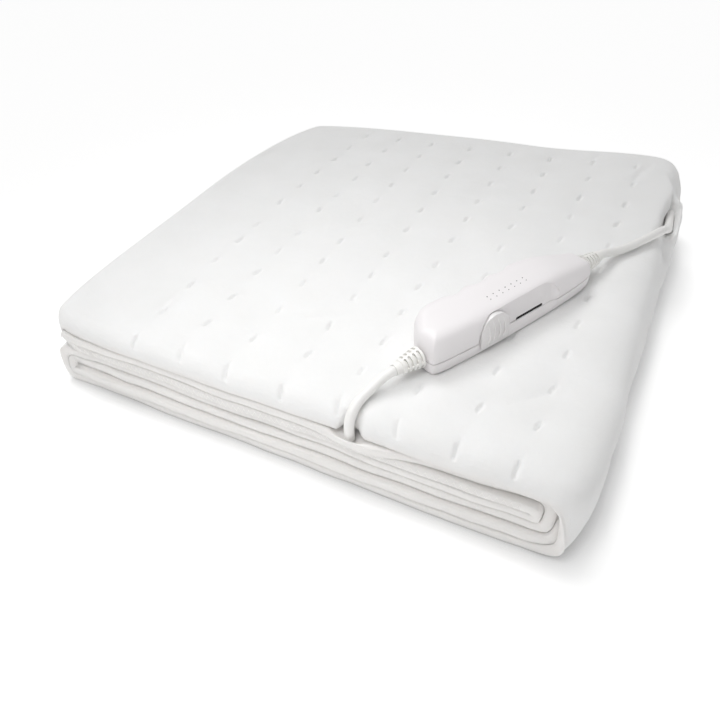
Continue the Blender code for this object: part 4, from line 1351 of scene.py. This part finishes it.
@dataclass
class HandControl:
    """The slide control on the cord: two shells, a ribbed slider, dot marks and two strain reliefs.

    In its own frame u runs along it, v across it to its far side, and w up from its underside."""

    place: Vector = field(default_factory=lambda: Vector((0.1123, -0.0744, 0.0604)))
    angle: float = 62.2
    height: float = 0.0270
    base_height: float = 0.0090
    gap: float = 0.0003
    cloth_gap: float = 0.0006
    # the outline seen from above: place along it, near side and far side
    outline: Sequence[Triple] = (
        (-0.0740, -0.0088, 0.0030),
        (-0.0730, -0.0112, 0.0052),
        (-0.0700, -0.0122, 0.0100),
        (-0.0660, -0.0128, 0.0158),
        (-0.0620, -0.0132, 0.0206),
        (-0.0570, -0.0136, 0.0238),
        (-0.0500, -0.0140, 0.0253),
        (-0.0400, -0.0145, 0.0252),
        (-0.0200, -0.0150, 0.0246),
        (0.0120, -0.0150, 0.0240),
        (0.0260, -0.0148, 0.0230),
        (0.0400, -0.0143, 0.0198),
        (0.0520, -0.0137, 0.0158),
        (0.0640, -0.0125, 0.0118),
        (0.0710, -0.0110, 0.0094),
        (0.0740, -0.0080, 0.0072),
    )
    # the top slopes down to its back end: from, to and by what share
    slope: Triple = (0.030, 0.080, 0.42)
    grip_from: float = -0.0400
    grip_to: float = 0.0215
    grip_pitch: float = 0.0205
    grip_depth: float = 0.0034
    top_rings: Sequence[Ring] = rings(
        (0.0093, 0.994, 0.955),
        (0.0100, 1.000, 1.000),
        (0.0125, 0.999, 0.995),
        (0.0150, 0.997, 0.985),
        (0.0175, 0.993, 0.962),
        (0.0195, 0.988, 0.930),
        (0.0214, 0.981, 0.888),
        (0.0230, 0.972, 0.840),
        (0.0243, 0.961, 0.775),
        (0.0253, 0.948, 0.700),
        (0.0261, 0.930, 0.605),
        (0.0266, 0.910, 0.500),
        (0.0269, 0.885, 0.370),
        (0.0270, 0.860, 0.250),
    )
    base_rings: Sequence[Ring] = rings(
        (0.0000, 0.978, 0.900),
        (0.0004, 0.985, 0.930),
        (0.0012, 0.992, 0.960),
        (0.0040, 0.999, 0.990),
        (0.0082, 1.000, 1.000),
        (0.0088, 0.999, 0.992),
        (0.0090, 0.994, 0.955),
    )
    shell_steps: int = 60
    far_round: float = 0.60
    near_v: float = -0.019
    recess_from: float = -0.0385
    recess_to: float = 0.0350
    recess_floor: float = -0.0129
    recess_lean: float = 0.20
    recess_foot: float = 0.0010
    recess_top: float = 0.0254
    recess_corner: float = 0.0140
    ramp_from: float = 0.0290
    ramp_slope: float = 0.36
    # the slot between the shells: its ends, where it widens, and its two upper edges
    slot_ends: Triple = (-0.0275, -0.0040, 0.0210)
    slot_tops: Pair = (0.0102, 0.0114)
    slot_low: float = 0.0085
    slot_depth: float = 0.0040
    slot_play: float = 0.0003
    # the dots of the settings: how many, the first, their pitch, and each row's place and radius
    mark_count: int = 7
    mark_first: float = -0.0180
    mark_pitch: float = 0.0053
    mark_depth: float = 0.00016
    mark_rows: Sequence[Pair] = ((0.0014, 0.00040), (-0.0019, 0.00034))
    slider_low: float = 0.0026
    slider_u: float = -0.0240
    slider_len: float = 0.0244
    slider_face: float = -0.0160
    slider_rim: float = 0.0012
    stem_half: float = 0.0025
    rib_count: int = 4
    rib_pitch: float = 0.0044
    rib_r: float = 0.00055
    boot_w: float = 0.0100
    boot_len: float = 0.0200
    boot_root_r: float = 0.0074
    boot_tip_r: float = 0.0046
    # the strain reliefs' slits: how many, the first, their pitch, width and depth
    slit_count: int = 4
    slit_first: float = 0.0026
    slit_pitch: float = 0.0032
    slit_wide: float = 0.0014
    slit_depth: float = 0.0019

    # ---- sizes

    def at(self, u: float, v: float, w: float) -> Vector:
        """Turn a point of the control's own frame to the model's.

        Args:
            u: Place along the control.
            v: Place across it.
            w: Height above its underside.

        Returns:
            The point's place.
        """
        turn = math.radians(self.angle)
        x = self.place.x + u * math.cos(turn) - v * math.sin(turn)
        y = self.place.y + u * math.sin(turn) + v * math.cos(turn)
        return Vector((x, y, self.place.z + w))

    def sides(self, u: float) -> Pair:
        """Read the near and far sides of the outline at one place along it.

        Args:
            u: Place along the control.

        Returns:
            The near side and the far side.
        """
        u = min(self.outline[-1][0], max(self.outline[0][0], u))
        low, high = next(pair for pair in zip(self.outline, self.outline[1:]) if u <= pair[1][0])
        share = (u - low[0]) / (high[0] - low[0])
        near, far = mix(low[1], high[1], share), mix(low[2], high[2], share)
        if self.grip_from < u < self.grip_to:
            fade = smoothstep(self.grip_from, self.grip_from + 0.006, u)
            fade *= 1 - smoothstep(self.grip_to - 0.006, self.grip_to, u)
            far -= self.grip_depth * fade * abs(math.sin(math.pi * (u - self.grip_from) / self.grip_pitch))
        return near, far

    def dent(self, spot: Vector) -> float:
        """Read the height of the cloth beside and under the control, which presses it flat.

        Args:
            spot: A point of the cloth's top.

        Returns:
            Its height.
        """
        turn = math.radians(self.angle)
        east, north = spot.x - self.place.x, spot.y - self.place.y
        u = east * math.cos(turn) + north * math.sin(turn)
        v = -east * math.sin(turn) + north * math.cos(turn)
        if abs(u) > 0.10 or abs(v) > 0.05:
            return spot.z
        near, far = self.sides(u)
        past = max(abs(u) - self.outline[-1][0], near - v, v - far, 0.0)
        return min(spot.z, mix(self.place.z - self.cloth_gap, spot.z, smoothstep(0.0, 0.010, past)))

    def complete(self, obj: Object, finish: Finish, smooth: float, body: Body, slot: str, *nodes: str) -> None:
        """Finish a piece, seat it on the pile and hand it over.

        Args:
            obj: The piece, in the control's own frame.
            finish: Its finish.
            smooth: The angle above which its edges stay sharp, in degrees, or 0 for flat faces.
            body: The body that it rides on.
            slot: Not used.
            nodes: CAD nodes that it replaces.
        """
        obj.data.materials.append(finish.material())
        if smooth:
            make_active(obj)
            bpy.ops.object.shade_smooth_by_angle(angle=math.radians(smooth))
        obj.location = self.place
        obj.rotation_euler.z = math.radians(self.angle)
        settle(obj)
        hand_over(obj, body, nodes)

    # ---- shells

    def lowered(self, u: float, w: float) -> float:
        """Height of a ring's point, drawn down where the top slopes to its back end.

        Args:
            u: Place along the control.
            w: The ring's height.

        Returns:
            The point's height.
        """
        start, end, share = self.slope
        foot = self.base_height + 0.0011
        scale = 1.06 - 0.06 * smoothstep(-0.070, -0.010, u) - share * smoothstep(start, end, u)
        return w if w < foot else mix(foot, w, scale)

    def ring_points(self, ring: Ring) -> list[Vector]:
        """Work out the points of one ring of a shell.

        Args:
            ring: The ring.

        Returns:
            The points, near side first.
        """
        half = self.outline[-1][0]
        us = [-half * math.cos(math.pi * step / self.shell_steps) for step in range(self.shell_steps + 1)]
        along, across = (mix(1.0, share, self.far_round) for share in (ring.along, ring.across))
        points = [(u * ring.along, self.sides(u)[0] * ring.across) for u in us]
        points += [(u * (along if u < 0 else ring.along), self.sides(u)[1] * across) for u in reversed(us)]
        return [Vector((u, v, self.lowered(u, ring.w))) for u, v in points]

    def shell(self, name: str, levels: Sequence[Ring]) -> Object:
        """Model a shell: a flat outline extruded ring by ring and drawn to each ring's size.

        Args:
            name: The piece's name.
            levels: The rings, from the lowest to the highest.

        Returns:
            The shell.
        """
        placed = self.ring_points(levels[0])
        shell = outlined(name, placed)
        with editing(shell):
            for ring in levels[1:]:
                bpy.ops.mesh.extrude_region_move()
                with edit_mesh(shell) as mesh_bm:
                    _, loop = cap_loop(mesh_bm, placed)
                    placed = self.ring_points(ring)
                    for vert, point in zip(loop, placed):
                        vert.co = point
            # the last cap slopes, so quads from side to side take its place
            with edit_mesh(shell) as mesh_bm:
                cap, loop = cap_loop(mesh_bm, placed)
                mesh_bm.faces.remove(cap)
                for step in range(self.shell_steps):
                    mesh_bm.faces.new((loop[step], loop[step + 1], loop[-2 - step], loop[-1 - step]))
            face_outwards()
        return shell

    def plug(self, name: str, points: Sequence[Pair], near: float, far: float) -> Object:
        """Model an upright plate or a cutter: a filled outline extruded across the control.

        Args:
            name: The object's name.
            points: The outline, as u and w.
            near: Its near face, v.
            far: Its far face, v.

        Returns:
            The object.
        """
        plug = outlined(name, [(u, near, w) for u, w in points])
        with editing(plug):
            bpy.ops.mesh.extrude_region_move(TRANSFORM_OT_translate={"value": (0, far - near, 0)})
            face_outwards()
        return plug

    def floor_at(self, u: float, w: float) -> float:
        """Read the recess's floor, v, which leans inwards to its top and comes out at its back end."""
        lean = self.recess_lean * (w - self.base_height)
        return self.recess_floor + lean - self.ramp_slope * max(0.0, u - self.ramp_from)

    def recess_tool(self, foot: float) -> Object:
        """Model the cutter of the recess: a flat foot, two round upper corners and a leaning floor.

        Args:
            foot: Height of its foot.

        Returns:
            The cutter.
        """
        radius = self.recess_corner
        crown = self.recess_top - radius
        points = [(self.recess_from, foot), (self.recess_to, foot)]
        for start, centre in ((0.0, self.recess_to - radius), (math.pi / 2, self.recess_from + radius)):
            turns = [start + math.pi / 2 * step / 14 for step in range(15)]
            points += [(centre + radius * math.cos(turn), crown + radius * math.sin(turn)) for turn in turns]
        tool = self.plug("recess_tool", points, self.near_v, self.recess_floor)
        with editing(tool):
            bpy.ops.mesh.bisect(plane_co=(self.ramp_from, 0, 0), plane_no=(1, 0, 0))
        for vert in tool.data.vertices:
            if vert.co.y > self.recess_floor - 0.0001:
                vert.co.y = self.floor_at(vert.co.x, vert.co.z)
        return tool

    def slot_outlines(self) -> list[list[Pair]]:
        """Draw the slot's two stretches seen from the near side: slim under the slider, and wider beyond it.

        Returns:
            Each stretch's points, as u and w.
        """
        start, wide, end = self.slot_ends
        slim_top, top = self.slot_tops
        slim = [(start, self.slot_low), (wide + 0.001, self.slot_low), (wide + 0.001, slim_top), (start, slim_top)]
        full = [(wide, self.slot_low), (end, self.slot_low), (end, top - 0.0009), (end - 0.0003, top - 0.0003)]
        full += [(end - 0.0009, top), (wide + 0.0009, top), (wide + 0.0003, top - 0.0003), (wide, top - 0.0009)]
        return [slim, full]

    def cut(self, obj: Object, tool: Object) -> None:
        """Cut an object with a tool and remove the tool."""
        apply_modifier(obj, "BOOLEAN", operation="DIFFERENCE", solver="EXACT", object=tool)
        bpy.data.objects.remove(tool)

    def build_shells(self) -> None:
        """Build the two shells with the recess and the slot, and a black plate in the slot that paints its shade."""
        upper = self.shell("control_upper_shell", self.top_rings)
        lower = self.shell("control_lower_shell", self.base_rings)
        inner = self.recess_floor + self.slot_depth
        self.cut(upper, self.recess_tool(self.base_height - 0.002))
        self.cut(lower, self.recess_tool(self.recess_foot))
        for outline in self.slot_outlines():
            self.cut(upper, self.plug("slot_tool", outline, self.near_v, inner))
        for shell, node, width in ((upper, "control_top", 0.00040), (lower, "control_base", 0.00020)):
            edge = math.radians(50)
            apply_modifier(shell, "BEVEL", width=width, segments=2, limit_method="ANGLE", angle_limit=edge)
            self.complete(shell, SHELL, 32, Body.PILE, "moulded_shell", node)
        # painted shade: a black plate inside the slot stands in for the shade deep in it
        ends = (self.slot_ends[1] + 0.0004, self.slot_ends[2] - 0.0004)
        outline = rectangle(*ends, self.base_height + self.slot_play, self.slot_tops[1] - self.slot_play)
        slot_shade_plate = self.plug("painted_slot_shade_plate", outline, self.recess_floor + 0.0005, inner - 0.0004)
        self.complete(slot_shade_plate, PAINTED_SLOT_SHADE, 30, Body.PILE, "moulded_shell")

    def build_marks(self) -> None:
        """Print the two rows of small marks for the settings on the upper shell."""
        marks = []
        for index in range(self.mark_count):
            u = self.mark_first + index * self.mark_pitch
            for v, radius in self.mark_rows:
                spot = (u, v, self.lowered(u, self.height) + 0.00014)
                dot = primitive("cylinder", "mark", vertices=14, radius=radius, depth=self.mark_depth, location=spot)
                marks.append(dot)
        dots = join(*marks)
        dots.name = "setting_marks"
        settle(dots)
        self.complete(dots, INK, 0, Body.PILE, "moulded_shell")

    # ---- slider

    def cap_lean(self, w: float) -> float:
        """How far the slider's face leans back at a height."""
        return 0.0028 * smoothstep(0.0100, self.recess_top, w)

    def crown(self, u: float) -> float:
        """Height of the slider's arched top at a place along it."""
        return self.recess_top - self.recess_corner + math.sqrt((self.recess_corner - 0.0008) ** 2 - u**2)

    def slider_plate(self) -> Object:
        """Model the slider's arched plate with its soft rim.

        Returns:
            The plate.
        """
        low, half = self.slider_low, self.slider_len / 2
        us = [half - self.slider_len * step / 18 for step in range(19)]
        points = [(-half, low), (half, low)] + [(u, self.crown(u)) for u in us]
        plate = self.plug("control_slider_cap", points, self.recess_floor - 0.0004, self.slider_face)
        with editing(plate):
            with edit_mesh(plate) as mesh_bm:
                front = [face.index for face in mesh_bm.faces if all(vert.co.y < -0.0159 for vert in face.verts)]
            select_faces(plate, front)
            bpy.ops.mesh.inset(thickness=self.slider_rim, depth=0.0)
            bpy.ops.mesh.inset(thickness=0.0014, depth=0.0)
        for vert in plate.data.vertices:
            if vert.co.y < -0.0150:
                rim = min(half - abs(vert.co.x), vert.co.z - low)
                soft = 1 - min(1.0, max(0.0, rim / self.slider_rim))
                vert.co.y += 0.0009 * soft**2 + self.cap_lean(vert.co.z)
            else:
                vert.co.y = self.floor_at(0.0, vert.co.z) - 0.0004
        return plate

    def rib(self, u: float) -> Object:
        """Model one curved rib of the slider.

        Args:
            u: Its place along the slider.

        Returns:
            The rib.
        """
        low, high = self.slider_low + 0.0030, self.crown(u) - 0.0022
        spot = (u, self.slider_face, (high + low) / 2)
        rib = primitive("cylinder", "rib", vertices=12, radius=self.rib_r, depth=high - low, location=spot)
        with editing(rib):
            for step in range(1, 8):
                bpy.ops.mesh.select_all(action="SELECT")
                bpy.ops.mesh.bisect(plane_co=(0, 0, mix(low, high, step / 8)), plane_no=(0, 0, 1))
        settle(rib)
        for vert in rib.data.vertices:
            bow = math.sin(math.pi * (vert.co.z - low) / (high - low))
            vert.co.x += 0.0013 * bow - 0.0006
            vert.co.y += self.cap_lean(vert.co.z)
            vert.co.y += 0.0006 * (1 - math.sqrt(max(0.0, bow)))
        return rib

    def build_slider(self) -> None:
        """Build the slider: its plate, its ribs and the stem that runs in the slot."""
        plate = self.slider_plate()
        first = -(self.rib_count - 1) * self.rib_pitch / 2
        ribs = [self.rib(first + index * self.rib_pitch) for index in range(self.rib_count)]
        low, high = self.base_height + self.slot_play, self.slot_tops[0] - self.slot_play
        outline = rectangle(-self.stem_half, self.stem_half, low, high)
        stem = self.plug("stem", outline, self.recess_floor - 0.0014, self.recess_floor + 0.0002)
        slider = join(plate, *ribs, stem)
        slider.location = (self.slider_u, 0, 0)
        settle(slider)
        self.complete(slider, SLIDER, 40, Body.SLIDER, "slider_plastic", "control_slider")

    # ---- strain reliefs

    def build_boot(self, name: str, direction: int, node: str) -> None:
        """Build one tapered strain relief, with slits cut round it in four rows.

        Args:
            name: The piece's name.
            direction: 1 at the back end, -1 at the front end.
            node: The CAD node that it replaces.
        """
        root, tip = self.boot_root_r, self.boot_tip_r
        ringed = self.slit_first + self.slit_count * self.slit_pitch
        starts = [self.slit_first + index * self.slit_pitch for index in range(self.slit_count)]
        slits = [(start, start + self.slit_wide) for start in starts]
        rows = [(0.0, root - 0.0018), (0.0010, root - 0.0018), (0.0012, root)]
        rows += [(w, mix(root, tip + 0.0004, w / ringed)) for slit in slits for w in slit]
        rows += [(ringed, tip + 0.0004), (ringed + 0.0006, tip - 0.0004)]
        rows += [(self.boot_len - 0.0004, tip - 0.0008), (self.boot_len, tip - 0.0010)]
        boot = primitive("circle", name, vertices=48, radius=rows[0][1], fill_type="NGON", location=(0, 0, 0))
        with editing(boot):
            for (low, low_r), (high, high_r) in zip(rows, rows[1:]):
                bpy.ops.mesh.extrude_region_move(TRANSFORM_OT_translate={"value": (0, 0, high - low)})
                scale = high_r / low_r
                bpy.ops.transform.resize(value=(scale, scale, 1), center_override=(0, 0, high))
            face_outwards()
            chosen = []
            with edit_mesh(boot) as mesh_bm:
                for face in mesh_bm.faces:
                    middle = face.calc_center_median()
                    turn = math.degrees(math.atan2(middle.y, middle.x)) % 90
                    if 9 < turn < 81 and any(low < middle.z < high for low, high in slits):
                        chosen.append(face.index)
            select_faces(boot, chosen)
            inwards = {"value": -self.slit_depth, "use_even_offset": False}
            bpy.ops.mesh.extrude_region_shrink_fatten(TRANSFORM_OT_shrink_fatten=inwards)
        boot.rotation_euler = (0, direction * math.pi / 2, 0)
        boot.location = (direction * (self.outline[-1][0] + self.gap), 0, self.boot_w)
        settle(boot)
        self.complete(boot, BOOT, 35, Body.PILE, "soft_boot", node)

    def build(self) -> None:
        """Build the whole control."""
        self.build_shells()
        self.build_marks()
        self.build_slider()
        self.build_boot("strain_relief_front", -1, "boot_front")
        self.build_boot("strain_relief_back", 1, "boot_back")


# ---------------------------------------------------------------- the cord


@dataclass
class CordRun:
    """One free stretch of the cord: straight out of its strain relief and then along a smooth route."""

    name: str
    node: str
    direction: int
    route: Sequence[Triple]
    diameter: float = 0.0065
    straight_out: float = 0.0045
    point_step: float = 0.0040
    smoothness: int = 12

    def fine_points(self, control: HandControl) -> list[Vector]:
        """Draw the smooth curve through the route.

        Args:
            control: The hand control that the cord leaves.

        Returns:
            Points of the curve, finely spaced.
        """
        exit_u = control.outline[-1][0] + control.gap + control.boot_len + control.gap
        runs = (exit_u, exit_u + self.straight_out)
        spots = [control.at(self.direction * u, 0.0, control.boot_w) for u in runs]
        spots += [Vector(point) for point in self.route]
        spots = [2 * spots[0] - spots[1], *spots, 2 * spots[-1] - spots[-2]]
        fine = []
        for before, start, end, after in zip(spots, spots[1:], spots[2:], spots[3:]):
            square = 2 * before - 5 * start + 4 * end - after
            cube = 3 * start - before - 3 * end + after
            for t in (step / self.smoothness for step in range(self.smoothness)):
                fine.append(0.5 * (2 * start + (end - before) * t + square * t**2 + cube * t**3))
        return [*fine, spots[-2]]

    def build(self, control: HandControl) -> None:
        """Args:
            control: The hand control that the cord leaves.
        """
        fine = self.fine_points(control)
        lengths = [0.0]
        for first, second in zip(fine, fine[1:]):
            lengths.append(lengths[-1] + (second - first).length)
        total = lengths[-1]
        count = max(15, round(total / self.point_step))
        points = []
        for index in range(count):
            target = total * index / count
            at = max(place for place in range(len(lengths)) if lengths[place] <= target + 1e-9)
            share = (target - lengths[at]) / (lengths[at + 1] - lengths[at])
            points.append(fine[at].lerp(fine[at + 1], share))
        cord = tube(self.name, self.diameter / 2, 6, [([*points, fine[-1]], 1.0)])
        cord.data.materials.append(SHEATH.material())
        hand_over(cord, Body.PILE, [self.node])
        tuple(fine[0])
        LOG.info("%s: %.0f mm long", self.name, total * 1000)


FRONT_RUN = CordRun(
    "cord_to_front_edge",
    "cord_front",
    -1,
    (
        (0.0626, -0.1677, 0.0682),
        (0.0598, -0.1742, 0.0656),
        (0.0575, -0.1807, 0.0642),
        (0.0559, -0.1867, 0.0618),
        (0.0552, -0.1919, 0.0574),
        (0.0550, -0.1943, 0.0515),
        (0.0550, -0.1948, 0.0460),
        (0.0550, -0.1943, 0.0412),
    ),
)
BACK_RUN = CordRun(
    "cord_to_right_edge",
    "cord_back",
    1,
    (
        (0.1619, 0.0208, 0.0672),
        (0.1667, 0.0291, 0.0648),
        (0.1723, 0.0373, 0.0640),
        (0.1785, 0.0463, 0.0642),
        (0.1845, 0.0558, 0.0643),
        (0.1903, 0.0663, 0.0640),
        (0.1952, 0.0778, 0.0618),
        (0.1975, 0.0903, 0.0553),
        (0.1976, 0.1033, 0.0510),
        (0.1972, 0.1163, 0.0490),
        (0.1967, 0.1288, 0.0487),
    ),
)


# ---------------------------------------------------------------- the whole model


def main() -> None:
    """Build the studio and every piece, in order."""
    logging.basicConfig(level=logging.INFO, format="%(message)s")
    Studio().build()
    control = HandControl()
    FRONT_RUN.build(control)
    BACK_RUN.build(control)
    cloth = FoldedCloth()
    cloth.build(control, (FRONT_RUN, BACK_RUN))
    cloth.overlock()
    control.build()


if __name__ == "__main__":
    main()
